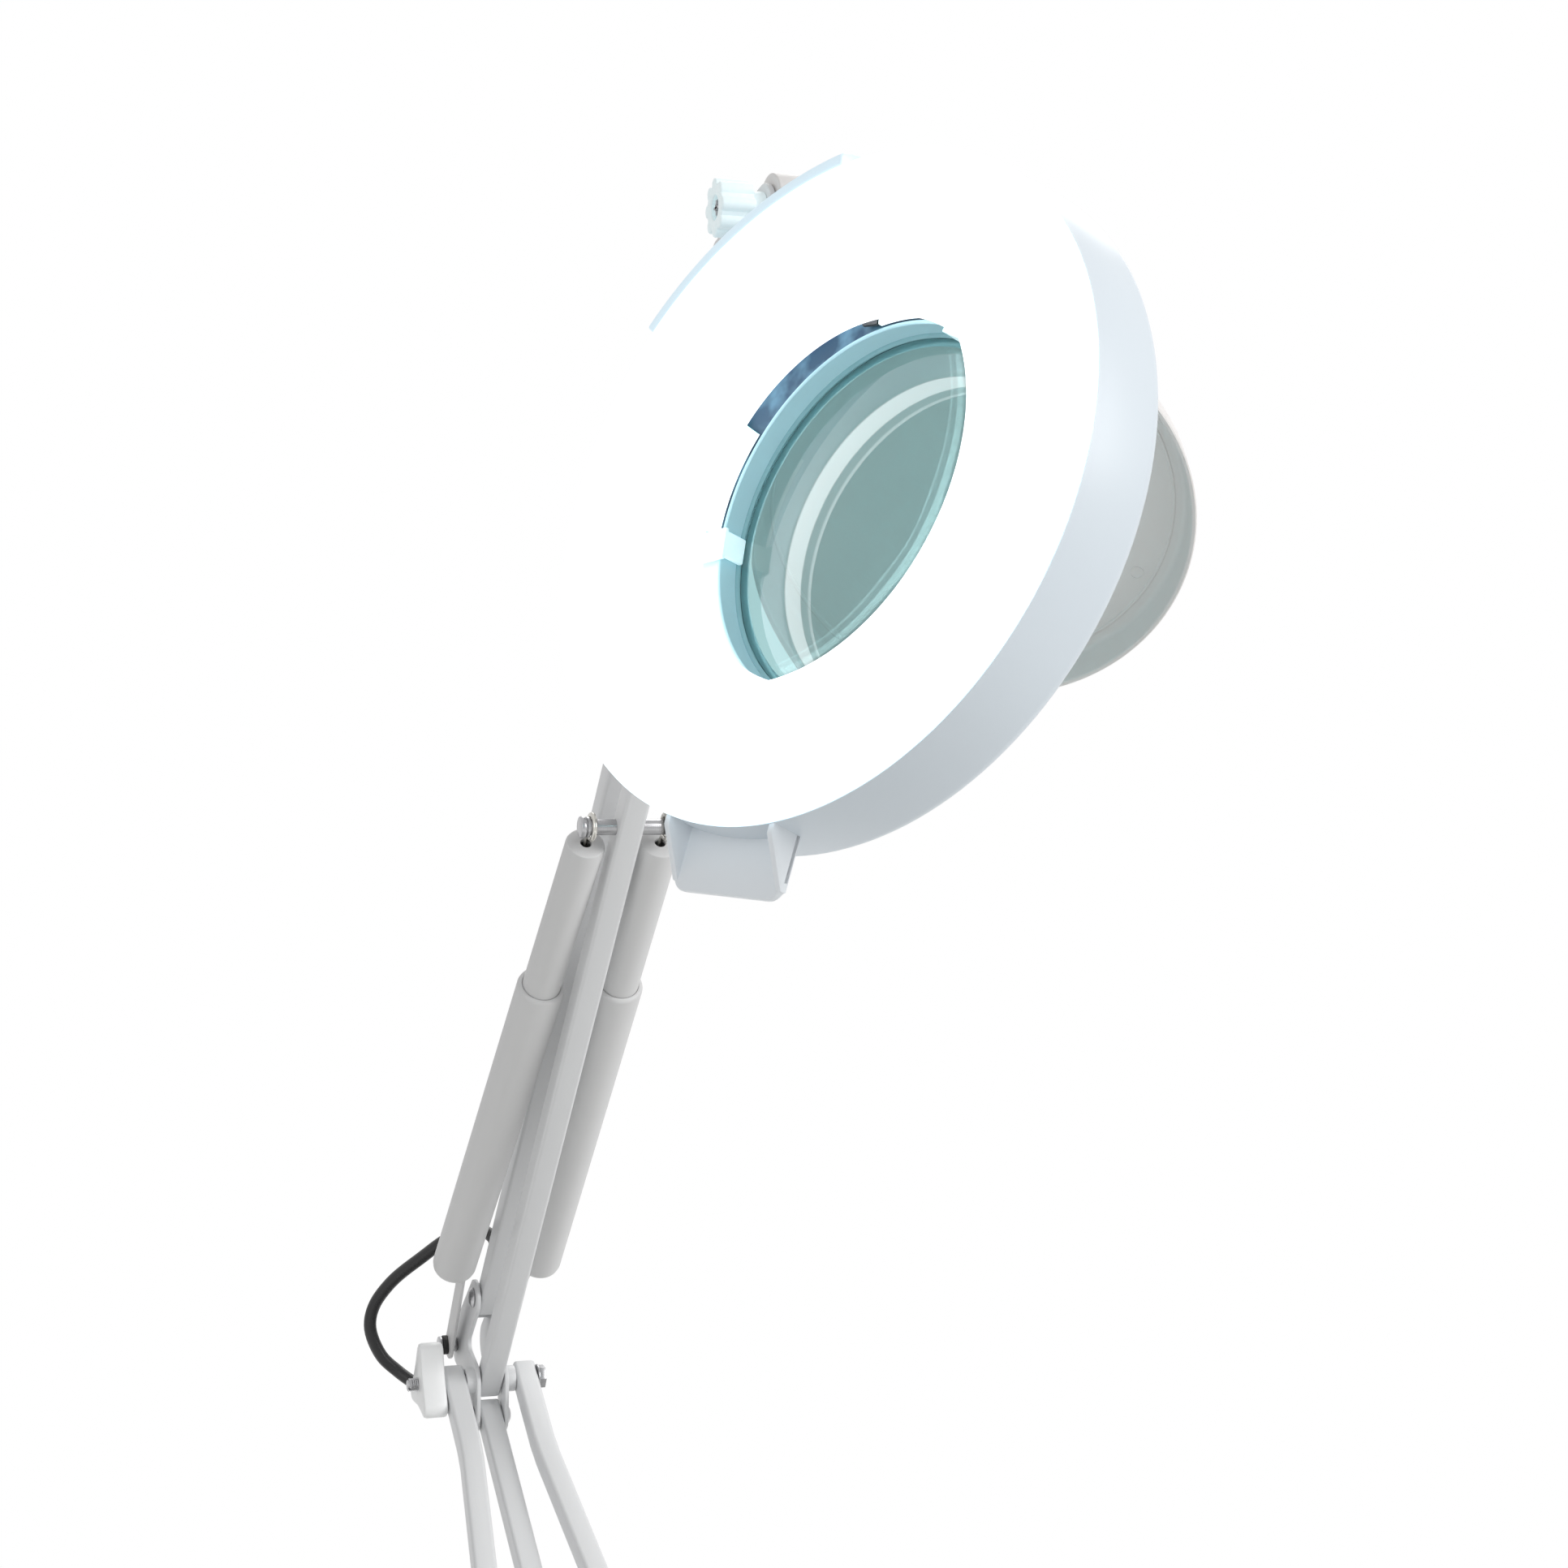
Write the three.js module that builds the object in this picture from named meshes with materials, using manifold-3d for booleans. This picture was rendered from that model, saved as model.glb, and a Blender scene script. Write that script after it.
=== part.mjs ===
// Magnifying lamp on a spring balanced arm, with a table clamp.
// Millimetres, +Z up. The origin is on the table top, under the clamp's upper jaw, on the axis about
// which the arm turns. Both arms fold in the YZ plane and their hinge pins lie along X.

import * as THREE from 'three';
import { mergeVertices } from 'three/addons/utils/BufferGeometryUtils.js';
import Module from 'manifold-3d';

const wasm = await Module();
wasm.setup();

const DEG = Math.PI / 180;
const GAP = 0.3; // clearance between pieces that touch

// Arms
const TUBE = 11; // side of the square arm tube
const TUBE_CORNER = 1.6;
const TUBE_END = 8; // tube beyond its last pivot
const UPPER_LENGTH = 615; // pivot to pivot
const UPPER_LEAN = 43; // degrees from upright, the top towards -Y
const LOWER_LENGTH = 560;
const LOWER_LEAN = 57; // degrees from upright, the top towards +Y
const UPPER_RISE = 42; // height of the rear bar's pivots over the front bar's
const LOWER_DROP = 18; // depth of the middle bar's pivots under the outer bars'
const PIN_RADIUS = 3;

// Splay of the two outer bars of the lower arm, measured down from the elbow
const OUTER_BAR_TOP = 18.4; // distance of each bar's middle from the arm's middle
const OUTER_BAR_BOTTOM = 32;
const SPLAY_START = 50;
const SPLAY_END = 190;

// Elbow and head brackets: pairs of thin cheeks
const CHEEK = 2;
const ELBOW_CHEEK_X = 6.2; // inner face
const HEAD_CHEEK_X = 7.2; // inner face
const ELBOW_BOLT = 3.5;
const TILT_FORWARD = 54; // tilt axis in front of the upper bars' top pivots
const TILT_RISE = 50; // tilt axis over the front bar's top pivot
const TILT_BOSS = 13.2; // radius of the block that the knob clamps

// Springs and their telescoping covers
const SPRING_ROD_UP = 387; // distance along the upper arm
const SPRING_ROD_DOWN = 350; // distance along the lower arm from the base
const ROD_RADIUS = 3.3;
const PEG_END = 11; // inner end of each lower bar's spring peg
const UPPER_FOOT = [40, 11]; // the upper springs' pins, behind and over the elbow pivot
const LOWER_FOOT_RISE = 16.5; // the lower springs' pin over the base pivot
const UPPER_COVERS = { outer: 10.8, inner: 8.5, start: 74, length: 228 }; // radii; start is from the pin
const LOWER_COVERS = { outer: 9, inner: 7.15, start: 66, length: 210 };
const COVER_WALL = 1.2;
const COVER_TOP_GAP = 10; // from the rod to the upper cover's end
const STRAP = 1.6;

// Table clamp and turret
const BASE_PIVOT = 78; // height of the lower arm's pivot
const CLAMP_WIDTH = 32;
const CLAMP_SPINE = 32; // rear face of the clamp
const CLAMP_FRONT = -42;
const CLAMP_DEPTH = 78; // from the table top to the bottom of the lower jaw
const JAW = 9;
const SCREW_RADIUS = 5;
const SCREW_Y = -18;
const FOOT_TOP = -32;
const SOCKET_RADIUS = 13;
const SOCKET_TOP = 40;
const TURRET_CHEEK_X = 22; // inner face
const TURRET_CHEEK = 3;

// Head, in its own frame: X along the hinge line of the cover, Y towards the neck, Z out of the light
const HEAD_TILT = 52.3; // degrees, neck direction above the horizontal
const HEAD_SWIVEL = -59.5; // degrees about the neck
const NECK_REACH = 143.7; // tilt axis to the head's centre line
const NECK_DEPTH = 33; // neck axis behind the front rim
const RIM_RADIUS = 113;
const REAR_RADIUS = 114.8;
const WALL_DEPTH = 31;
const WALL = 2.4;
const HEAD_SIDES = 52; // facets round the head
const APERTURE = 69.5; // radius of the opening in the diffuser
const CROWN = 5; // the diffuser's inner edge stands this proud
const SKIRT = [62, -17]; // radius and height of the back edge of the diffuser's inner wall
const LENS_RADIUS = 63.5;
const LENS_EDGE = 3.5;
const LENS_SAG = 5.8;
const COLLAR_RADIUS = 65.4; // outside of the tube that holds the lens
const COLLAR_FACE = -26.8; // the tube's front edge
const COLLAR_END = -40.5; // the tube's back edge, behind the head's rear wall
const CLIP_POST = 73; // distance of each clip's post from the head's centre
const BOARD_Z = -24.9;
const BOARD_INNER = 78;
const BOARD_OUTER = 108;
const LED_COUNT = 22;
const NECK_HALF_ANGLE = 23.5;
const SWITCH_ANGLE = -30; // the switch on the back, from the neck
const HANDLE_ANGLE = 143.5; // from the neck, turning towards the head's left
const HANDLE_WIDTH = 50;
const HANDLE_REACH = 132;
const HANDLE_DEPTH = 13;
const CLIP_ANGLES = [63.5, 183.5, 303.5];
const COVER_RADIUS = 71;
const COVER_DEPTH = 15; // so that its dish clears the lens
const COVER_HINGE = 77; // hinge line from the head's centre
const COVER_HINGE_Z = -36.3;
const COVER_OPEN = 60; // degrees

// Cords
const GLAND = [-18, 98]; // where the cord enters the back of the head
const CORD = 3.2; // radius
const RELIEF_HEIGHT = 22; // where the lead leaves the clamp's socket
const RELIEF_LENGTH = 26;
const COIL_RADIUS = 36; // middle of the turns
const COIL_PITCH = 7.1;
const COIL_TURNS = 6;
const COIL_CENTRE = [112, -92];
const COIL_ENDS = [7, 36]; // straight cord before and after the turns

const paint = (color, roughness, metalness = 0) =>
  new THREE.MeshStandardMaterial({ color, roughness, metalness });
const WHITE_PLASTIC = () => paint(0xe9edf1, 0.35);
const GREY_PLASTIC = () => paint(0xdcdcda, 0.45);
const ARM_PAINT = () => paint(0xd9d9d8, 0.4, 0.1);
const STEEL = () => paint(0xb4b0a8, 0.3, 0.9);
const BLACK = () => paint(0x17181a, 0.6);

// ---- solids -------------------------------------------------------------------------------------

function manifoldOf(geometry) {
  const bare = geometry.clone();
  bare.deleteAttribute('normal');
  bare.deleteAttribute('uv');
  const merged = mergeVertices(bare, 1e-4);
  const mesh = new wasm.Mesh({
    numProp: 3,
    vertProperties: new Float32Array(merged.attributes.position.array),
    triVerts: new Uint32Array(merged.index.array),
  });
  mesh.merge(); // joins the vertices along a seam that rounding left apart
  return new wasm.Manifold(mesh);
}

function geometryOf(manifold) {
  const mesh = manifold.getMesh();
  const geometry = new THREE.BufferGeometry();
  geometry.setAttribute('position', new THREE.BufferAttribute(mesh.vertProperties, 3));
  geometry.setIndex(new THREE.BufferAttribute(mesh.triVerts, 1));
  return geometry;
}

function join(...geometries) {
  return geometryOf(geometries.map(manifoldOf).reduce((whole, piece) => whole.add(piece)));
}

function cut(geometry, ...tools) {
  return geometryOf(tools.map(manifoldOf).reduce((whole, tool) => whole.subtract(tool), manifoldOf(geometry)));
}

function common(first, second) {
  return geometryOf(manifoldOf(first).intersect(manifoldOf(second)));
}

const turned = (geometry, x = 0, y = 0, z = 0) =>
  geometry.rotateX(x * DEG).rotateY(y * DEG).rotateZ(z * DEG);

const box = (width, depth, height, x = 0, y = 0, z = 0) =>
  new THREE.BoxGeometry(width, depth, height).translate(x, y, z);

// A turned piece about Z from [radius, height] pairs; the outline runs up on the outside.
function lathe(outline, sides = 24, closed = false) {
  const points = outline.map(([r, z]) => new THREE.Vector2(r, z));
  if (closed) points.push(points[0].clone());
  return new THREE.LatheGeometry(points, sides).rotateX(90 * DEG);
}

// A round bar along X from x0 to x1.
function barX(radius, x0, x1, y = 0, z = 0, sides = 14) {
  return new THREE.CylinderGeometry(radius, radius, x1 - x0, sides)
    .rotateZ(90 * DEG).translate((x0 + x1) / 2, y, z);
}

// A pin along X whose radius steps at the given [x, radius] places.
function steppedPin(steps, sides = 12) {
  const outline = [[0, steps[0][0]]];
  steps.forEach(([x, radius], i) => {
    outline.push([radius, x]);
    if (i < steps.length - 1) outline.push([radius, steps[i + 1][0]]);
  });
  const last = steps[steps.length - 1];
  outline.pop();
  outline.push([0, last[0]]);
  return lathe(outline, sides).rotateY(90 * DEG);
}

// The same steps on the other side of the YZ plane. A step's radius holds from the place before it.
function mirrored(steps) {
  const places = steps.map(([x]) => -x).reverse();
  const radii = steps.map(([, radius]) => radius).reverse();
  return places.map((x, i) => [x, i < steps.length - 1 ? radii[i + 1] : radii[i]]);
}

// A plate in the YZ plane, from an outline of [y, z] points, between x and x + thickness.
function plateYZ(outline, x, thickness) {
  const shape = new THREE.Shape(outline.map(([y, z]) => new THREE.Vector2(y, z)));
  const plate = new THREE.ExtrudeGeometry(shape, { depth: thickness, bevelEnabled: false });
  return plate.applyMatrix4(new THREE.Matrix4().makeBasis(
    new THREE.Vector3(0, 1, 0), new THREE.Vector3(0, 0, 1), new THREE.Vector3(1, 0, 0),
  )).translate(x, 0, 0);
}

// The outline of a belt round discs [y, z, radius], for discs in counter-clockwise order.
function beltOutline(discs, steps = 6) {
  const outline = [];
  discs.forEach(([y, z, radius], i) => {
    const [py, pz] = discs[(i + discs.length - 1) % discs.length];
    const [ny, nz] = discs[(i + 1) % discs.length];
    const from = Math.atan2(z - pz, y - py) - Math.PI / 2;
    let to = Math.atan2(nz - z, ny - y) - Math.PI / 2;
    while (to < from) to += 2 * Math.PI;
    for (let k = 0; k <= steps; k += 1) {
      const angle = from + ((to - from) * k) / steps;
      outline.push([y + radius * Math.cos(angle), z + radius * Math.sin(angle)]);
    }
  });
  return outline;
}

function roundedSquare(side, corner) {
  const shape = new THREE.Shape();
  const half = side / 2;
  const inner = half - corner;
  [[inner, -inner, -90], [inner, inner, 0], [-inner, inner, 90], [-inner, -inner, 180]]
    .forEach(([x, y, start]) => shape.absarc(x, y, corner, start * DEG, (start + 90) * DEG, false));
  return shape;
}

// A square tube along Z from z0 to z1, bored along X at the given heights.
function squareBar(z0, z1, bores) {
  const bar = new THREE.ExtrudeGeometry(roundedSquare(TUBE, TUBE_CORNER), {
    depth: z1 - z0, bevelEnabled: false, curveSegments: 2,
  }).translate(0, 0, z0);
  return cut(bar, ...bores.map(([z, radius]) => barX(radius + 0.4, -TUBE, TUBE, 0, z)));
}

// A round tube along a curve.
function cordAlong(curve, radius, steps, sides) {
  const section = new THREE.Shape();
  section.absarc(0, 0, radius, 0, 2 * Math.PI, false);
  return new THREE.ExtrudeGeometry(section, {
    steps, extrudePath: curve, bevelEnabled: false, curveSegments: sides / 2,
  });
}

function put(parent, name, geometry, material) {
  const mesh = new THREE.Mesh(geometry, material);
  mesh.name = name;
  parent.add(mesh);
  return mesh;
}

function groupAt(parent, position, rotation = [0, 0, 0]) {
  const group = new THREE.Group();
  group.position.set(...position);
  group.rotation.set(...rotation.map((angle) => angle * DEG));
  parent.add(group);
  return group;
}

// ---- places -------------------------------------------------------------------------------------

const BASE = new THREE.Vector3(0, 0, BASE_PIVOT);
const ELBOW = new THREE.Vector3(0, LOWER_LENGTH * Math.sin(LOWER_LEAN * DEG),
  BASE_PIVOT + LOWER_LENGTH * Math.cos(LOWER_LEAN * DEG));
const TOP = new THREE.Vector3(0, ELBOW.y - UPPER_LENGTH * Math.sin(UPPER_LEAN * DEG),
  ELBOW.z + UPPER_LENGTH * Math.cos(UPPER_LEAN * DEG));
const TILT = new THREE.Vector3(0, TOP.y - TILT_FORWARD, TOP.z + TILT_RISE);

const lamp = new THREE.Group();

// ---- table clamp and turret ---------------------------------------------------------------------

function clamp() {
  const profile = [
    [CLAMP_FRONT, 0], [CLAMP_SPINE - JAW, 0], [CLAMP_SPINE - JAW, -CLAMP_DEPTH + JAW],
    [SCREW_Y - 16, -CLAMP_DEPTH + JAW], [SCREW_Y - 16, -CLAMP_DEPTH],
    [CLAMP_SPINE - 6, -CLAMP_DEPTH], [CLAMP_SPINE, -CLAMP_DEPTH + 6],
    [CLAMP_SPINE, JAW - 6], [CLAMP_SPINE - 6, JAW], [CLAMP_FRONT, JAW],
  ];
  const frame = plateYZ(profile, -CLAMP_WIDTH / 2, CLAMP_WIDTH);
  const socket = lathe([[0, 1], [SOCKET_RADIUS + 1.5, 1], [SOCKET_RADIUS, SOCKET_TOP - 1.5],
    [SOCKET_RADIUS - 1.5, SOCKET_TOP], [0, SOCKET_TOP]], 24);
  const bore = lathe([[0, 12], [6.4, 12], [6.4, SOCKET_TOP + 2], [0, SOCKET_TOP + 2]], 16);
  const thread = lathe([[0, -CLAMP_DEPTH - 5], [SCREW_RADIUS + 0.4, -CLAMP_DEPTH - 5],
    [SCREW_RADIUS + 0.4, -CLAMP_DEPTH + JAW + 5], [0, -CLAMP_DEPTH + JAW + 5]], 20).translate(0, SCREW_Y, 0);
  put(lamp, 'clamp_frame', cut(join(frame, socket), bore, thread), ARM_PAINT());

  const screw = groupAt(lamp, [0, SCREW_Y, 0]);
  const tip = FOOT_TOP - 7;
  const head = -CLAMP_DEPTH - 52;
  const spindle = lathe([[0, head], [8, head], [8, head + 15], [SCREW_RADIUS, head + 18],
    [SCREW_RADIUS, tip - 2], [SCREW_RADIUS - 2, tip], [0, tip]], 20);
  put(screw, 'clamp_screw', cut(spindle, barX(3.2, -12, 12, 0, head + 7.5, 12)), STEEL());
  const bar = steppedPin([[-31, 4.5], [-26, 2.8], [26, 4.5], [31, 4.5]], 14).translate(0, 0, head + 7.5);
  put(screw, 'clamp_handle', bar, STEEL());
  const foot = lathe([[0, tip + GAP], [9, tip + GAP], [15, FOOT_TOP - 3], [15, FOOT_TOP], [0, FOOT_TOP]], 28);
  put(screw, 'clamp_foot', foot, BLACK());
}

function turret() {
  const floor = SOCKET_TOP + GAP;
  const outer = TURRET_CHEEK_X + TURRET_CHEEK;
  const cheekTop = BASE_PIVOT + LOWER_FOOT_RISE;
  const post = lathe([[0, 12.6], [6, 12.6], [6, floor], [12, floor], [12, floor + 5], [0, floor + 5]], 16);
  const side = beltOutline([[-13, floor + 5, 1], [13, floor + 5, 1], [0, cheekTop, 10]]);
  const block = plateYZ(side, -outer, 2 * outer);
  const hollow = box(2 * TURRET_CHEEK_X, 60, 100, 0, 0, floor + 7 + 50);
  const holes = [[BASE_PIVOT, 4.4], [BASE_PIVOT - LOWER_DROP, 3.4], [cheekTop, 3.4]]
    .map(([z, radius]) => barX(radius, -outer - 5, outer + 5, 0, z));
  put(lamp, 'turret_bracket', cut(join(block, post), hollow, ...holes), ARM_PAINT());

  const reach = OUTER_BAR_BOTTOM + TUBE / 2 + 1;
  [[-1, 'left'], [1, 'right']].forEach(([way, name]) => {
    const steps = [[TURRET_CHEEK_X - GAP - 2.5, 6], [TURRET_CHEEK_X - GAP, 4], [reach, 6.5], [reach + 3, 6.5]];
    const pin = steppedPin(way > 0 ? steps : mirrored(steps));
    put(lamp, `turret_pivot_pin_${name}`, pin.translate(0, 0, BASE_PIVOT), STEEL());
  });
  put(lamp, 'turret_link_pin',
    steppedPin([[-outer - 3, 5], [-outer - GAP, PIN_RADIUS], [outer + GAP, 5], [outer + 3, 5]])
      .translate(0, 0, BASE_PIVOT - LOWER_DROP), STEEL());
  put(lamp, 'turret_spring_pin',
    steppedPin([[-outer - 1.3, 5], [-outer - GAP, PIN_RADIUS], [outer + GAP, 5], [outer + 1.3, 5]])
      .translate(0, 0, cheekTop), STEEL());
}

// ---- lower arm ----------------------------------------------------------------------------------

// One bent outer bar, seen along its own thickness: u runs down from the elbow, the offset is along X.
function outerBar(side) {
  const half = TUBE / 2;
  const end = LOWER_LENGTH + TUBE_END;
  const middle = [[-TUBE_END + 1, OUTER_BAR_TOP], [SPLAY_START, OUTER_BAR_TOP],
    [SPLAY_END, OUTER_BAR_BOTTOM], [end, OUTER_BAR_BOTTOM]];
  const outline = [
    ...middle.map(([u, x]) => [side * (x + half), -u]),
    ...middle.slice().reverse().map(([u, x]) => [side * (x - half), -u]),
  ];
  const shape = new THREE.Shape(outline.map(([x, z]) => new THREE.Vector2(x, z)));
  const bevel = 1;
  const bar = new THREE.ExtrudeGeometry(shape, {
    depth: TUBE - 2 * bevel, bevelSize: bevel, bevelThickness: bevel, bevelOffset: -bevel, bevelSegments: 2,
  }).translate(0, 0, -half + bevel).rotateX(90 * DEG);
  const reach = OUTER_BAR_BOTTOM + TUBE;
  const peg = side > 0 ? barX(ROD_RADIUS, PEG_END, OUTER_BAR_BOTTOM) : barX(ROD_RADIUS, -OUTER_BAR_BOTTOM, -PEG_END);
  return cut(join(bar, peg.translate(0, 0, SPRING_ROD_DOWN - LOWER_LENGTH)),
    barX(ELBOW_BOLT + 0.4, -reach, reach), barX(4.4, -reach, reach, 0, -LOWER_LENGTH));
}

function lowerArm() {
  const arm = groupAt(lamp, ELBOW.toArray(), [-LOWER_LEAN, 0, 0]);
  put(arm, 'lower_bar_left', outerBar(-1), ARM_PAINT());
  put(arm, 'lower_bar_right', outerBar(1), ARM_PAINT());
  const top = OUTER_BAR_TOP + TUBE / 2;
  const bolt = steppedPin([[-42, 2.6], [-41, ELBOW_BOLT], [top + GAP, 6.5], [top + 4.5, 6.5]]);
  put(arm, 'elbow_bolt', bolt, STEEL());

  const link = groupAt(lamp, [0, ELBOW.y, ELBOW.z - LOWER_DROP], [-LOWER_LEAN, 0, 0]);
  put(link, 'lower_link_bar', squareBar(-LOWER_LENGTH - TUBE_END, TUBE_END - 2,
    [[0, PIN_RADIUS], [-LOWER_LENGTH, PIN_RADIUS]]), ARM_PAINT());
}

function elbowKnob() {
  const knob = groupAt(lamp, ELBOW.toArray());
  const lobes = [96, 216, 336].map((angle) => [16 * Math.cos(angle * DEG), 16 * Math.sin(angle * DEG), 5]);
  const body = plateYZ(beltOutline(lobes), -36.6, 12);
  put(knob, 'elbow_knob', cut(body, barX(ELBOW_BOLT + 0.4, -50, -20)), WHITE_PLASTIC());
}

// ---- elbow bracket ------------------------------------------------------------------------------

// Each cheek is bent like a boomerang: from the rear bar's pivot back to the spring pin, then forward
// to the bolt and down to the lower link's pivot.
function elbowBracket() {
  const holder = groupAt(lamp, ELBOW.toArray());
  const foot = [...UPPER_FOOT, 11];
  const belts = [[[0, UPPER_RISE, 9], foot], [foot, [0, 0, 9]], [[0, 0, 9], [0, -LOWER_DROP, 8]]];
  const cheeks = [-1, 1].flatMap((side) => belts.map((belt) =>
    plateYZ(beltOutline(belt, 10), side > 0 ? ELBOW_CHEEK_X : -ELBOW_CHEEK_X - CHEEK, CHEEK)));
  const spacers = [-1, 1].map((side) => (side > 0
    ? barX(6.5, ELBOW_CHEEK_X + 1, OUTER_BAR_TOP - TUBE / 2 - GAP)
    : barX(6.5, -OUTER_BAR_TOP + TUBE / 2 + GAP, -ELBOW_CHEEK_X - 1)));
  const slope = Math.atan2(UPPER_FOOT[1] - UPPER_RISE, UPPER_FOOT[0]) / DEG;
  const bridge = turned(box(2 * ELBOW_CHEEK_X + CHEEK, 24, 2), slope).translate(0, 25.1, 33.1);
  const holes = [[0, 0, ELBOW_BOLT], [0, -LOWER_DROP, PIN_RADIUS], [0, UPPER_RISE, PIN_RADIUS],
    [...UPPER_FOOT, PIN_RADIUS]].map(([y, z, radius]) => barX(radius + 0.4, -20, 20, y, z));
  put(holder, 'elbow_bracket', cut(join(...cheeks, ...spacers, bridge), ...holes), ARM_PAINT());
  const outer = ELBOW_CHEEK_X + CHEEK;
  const pin = () => steppedPin([[-outer - 2.5, 5], [-outer - GAP, PIN_RADIUS],
    [outer + GAP, 5], [outer + 2.5, 5]]);
  put(holder, 'elbow_lower_link_pin', pin().translate(0, 0, -LOWER_DROP), STEEL());
  put(holder, 'elbow_upper_link_pin', pin().translate(0, 0, UPPER_RISE), STEEL());
  [[-1, 'left'], [1, 'right']].forEach(([way, name]) => {
    const steps = [[ELBOW_CHEEK_X + GAP, PIN_RADIUS], [24.2, 4.5], [26.6, 4.5]];
    const anchor = steppedPin(way > 0 ? steps : mirrored(steps));
    put(holder, `elbow_spring_pin_${name}`, anchor.translate(0, ...UPPER_FOOT), STEEL());
  });
}

// ---- springs ------------------------------------------------------------------------------------

// A spring between a pin and a rod, hidden by two telescoping covers. `foot` and `hook` are its ends.
function springSet(label, covers, foot, hook, footX, hookX) {
  [[-1, 'left'], [1, 'right']].forEach(([side, name]) => {
    const from = new THREE.Vector3(side * footX, foot.y, foot.z);
    const to = new THREE.Vector3(side * hookX, hook.y, hook.z);
    const length = from.distanceTo(to);
    const along = to.clone().sub(from).normalize();
    const across = new THREE.Vector3(1, 0, 0).addScaledVector(along, -along.x).normalize();
    const spring = new THREE.Group();
    spring.applyMatrix4(new THREE.Matrix4().makeBasis(across, along.clone().cross(across), along)
      .setPosition(from));
    lamp.add(spring);

    const { outer, inner, start } = covers;
    const lower = start + covers.length;
    const upper = length - COVER_TOP_GAP;
    const lowerCover = lathe([[outer - 1, start], [outer, start + 2],
      [outer, lower - 1], [outer - 1, lower], [outer - COVER_WALL, lower],
      [outer - COVER_WALL, start + 2], [2, start + 2], [2, start]], 16, true);
    const strapOutline = beltOutline([[0, 0, 0.65 * outer], [0, start - 3, 0.55 * outer]], 4);
    const strap = cut(plateYZ(strapOutline, -STRAP / 2, STRAP), barX(PIN_RADIUS + 0.5, -5, 5, 0, 0, 16));
    put(spring, `${label}_cover_lower_${name}`, join(lowerCover, strap), GREY_PLASTIC());
    const upperCover = lathe([[inner, start + 30], [inner, upper - 1],
      [inner - 1, upper], [2.4, upper], [2.4, upper - 2], [inner - COVER_WALL, upper - 2],
      [inner - COVER_WALL, start + 30]], 16, true);
    put(spring, `${label}_cover_upper_${name}`, upperCover, GREY_PLASTIC());

    const wire = 1.2;
    const eye = ROD_RADIUS + 1.2 + wire;
    const loop = new THREE.TorusGeometry(eye, wire, 6, 14).rotateY(90 * DEG).translate(0, 0, length);
    const coil = lathe([[0, start + 12], [4.6, start + 12], [4.6, upper - 12], [wire, upper - 8],
      [wire, length - eye], [0, length - eye]], 8);
    put(spring, `${label}_spring_${name}`, join(loop, coil), STEEL());
  });
}

function springs() {
  const upperFoot = new THREE.Vector3(0, ...UPPER_FOOT).add(ELBOW);
  const upperHook = new THREE.Vector3(0, -Math.sin(UPPER_LEAN * DEG), Math.cos(UPPER_LEAN * DEG))
    .multiplyScalar(SPRING_ROD_UP).add(ELBOW);
  springSet('upper', UPPER_COVERS, upperFoot, upperHook, 22.9, 16);
  const lowerFoot = new THREE.Vector3(0, 0, BASE_PIVOT + LOWER_FOOT_RISE);
  const lowerHook = new THREE.Vector3(0, Math.sin(LOWER_LEAN * DEG), Math.cos(LOWER_LEAN * DEG))
    .multiplyScalar(SPRING_ROD_DOWN).add(BASE);
  springSet('lower', LOWER_COVERS, lowerFoot, lowerHook, 15.5, 16);
}

// ---- upper arm and head bracket -----------------------------------------------------------------

function upperArm() {
  const arm = groupAt(lamp, ELBOW.toArray(), [UPPER_LEAN, 0, 0]);
  put(arm, 'upper_front_bar', squareBar(1 - TUBE_END, UPPER_LENGTH + TUBE_END,
    [[0, ELBOW_BOLT], [SPRING_ROD_UP, ROD_RADIUS], [UPPER_LENGTH, PIN_RADIUS]]), ARM_PAINT());
  const rod = steppedPin([[-21, 5], [-18.5, ROD_RADIUS], [18.5, 5], [21, 5]]);
  put(arm, 'upper_spring_rod', rod.translate(0, 0, SPRING_ROD_UP), STEEL());
  const link = groupAt(lamp, [0, ELBOW.y, ELBOW.z + UPPER_RISE], [UPPER_LEAN, 0, 0]);
  put(link, 'upper_rear_bar', squareBar(-TUBE_END, UPPER_LENGTH + TUBE_END,
    [[0, PIN_RADIUS], [UPPER_LENGTH, PIN_RADIUS]]), ARM_PAINT());
}

function headBracket() {
  const holder = groupAt(lamp, TOP.toArray());
  const outline = beltOutline([[-TILT_FORWARD, TILT_RISE, 9.5], [0, 0, 8], [0, UPPER_RISE, 8]], 6);
  const cheeks = [-1, 1].map((side) =>
    plateYZ(outline, side > 0 ? HEAD_CHEEK_X : -HEAD_CHEEK_X - CHEEK, CHEEK));
  const bridge = box(2 * HEAD_CHEEK_X + 2, 2, 26, 0, -26, 33);
  const holes = [[0, 0], [0, UPPER_RISE], [-TILT_FORWARD, TILT_RISE]]
    .map(([y, z]) => barX(PIN_RADIUS + 0.4, -20, 20, y, z));
  put(holder, 'head_bracket', cut(join(...cheeks, bridge), ...holes), ARM_PAINT());
  const outer = HEAD_CHEEK_X + CHEEK;
  const pin = () => steppedPin([[-outer - 2, 4.5], [-outer - GAP, PIN_RADIUS],
    [outer + GAP, 4.5], [outer + 2, 4.5]]);
  put(holder, 'head_front_pin', pin(), STEEL());
  put(holder, 'head_rear_pin', pin().translate(0, 0, UPPER_RISE), STEEL());
}

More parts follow.
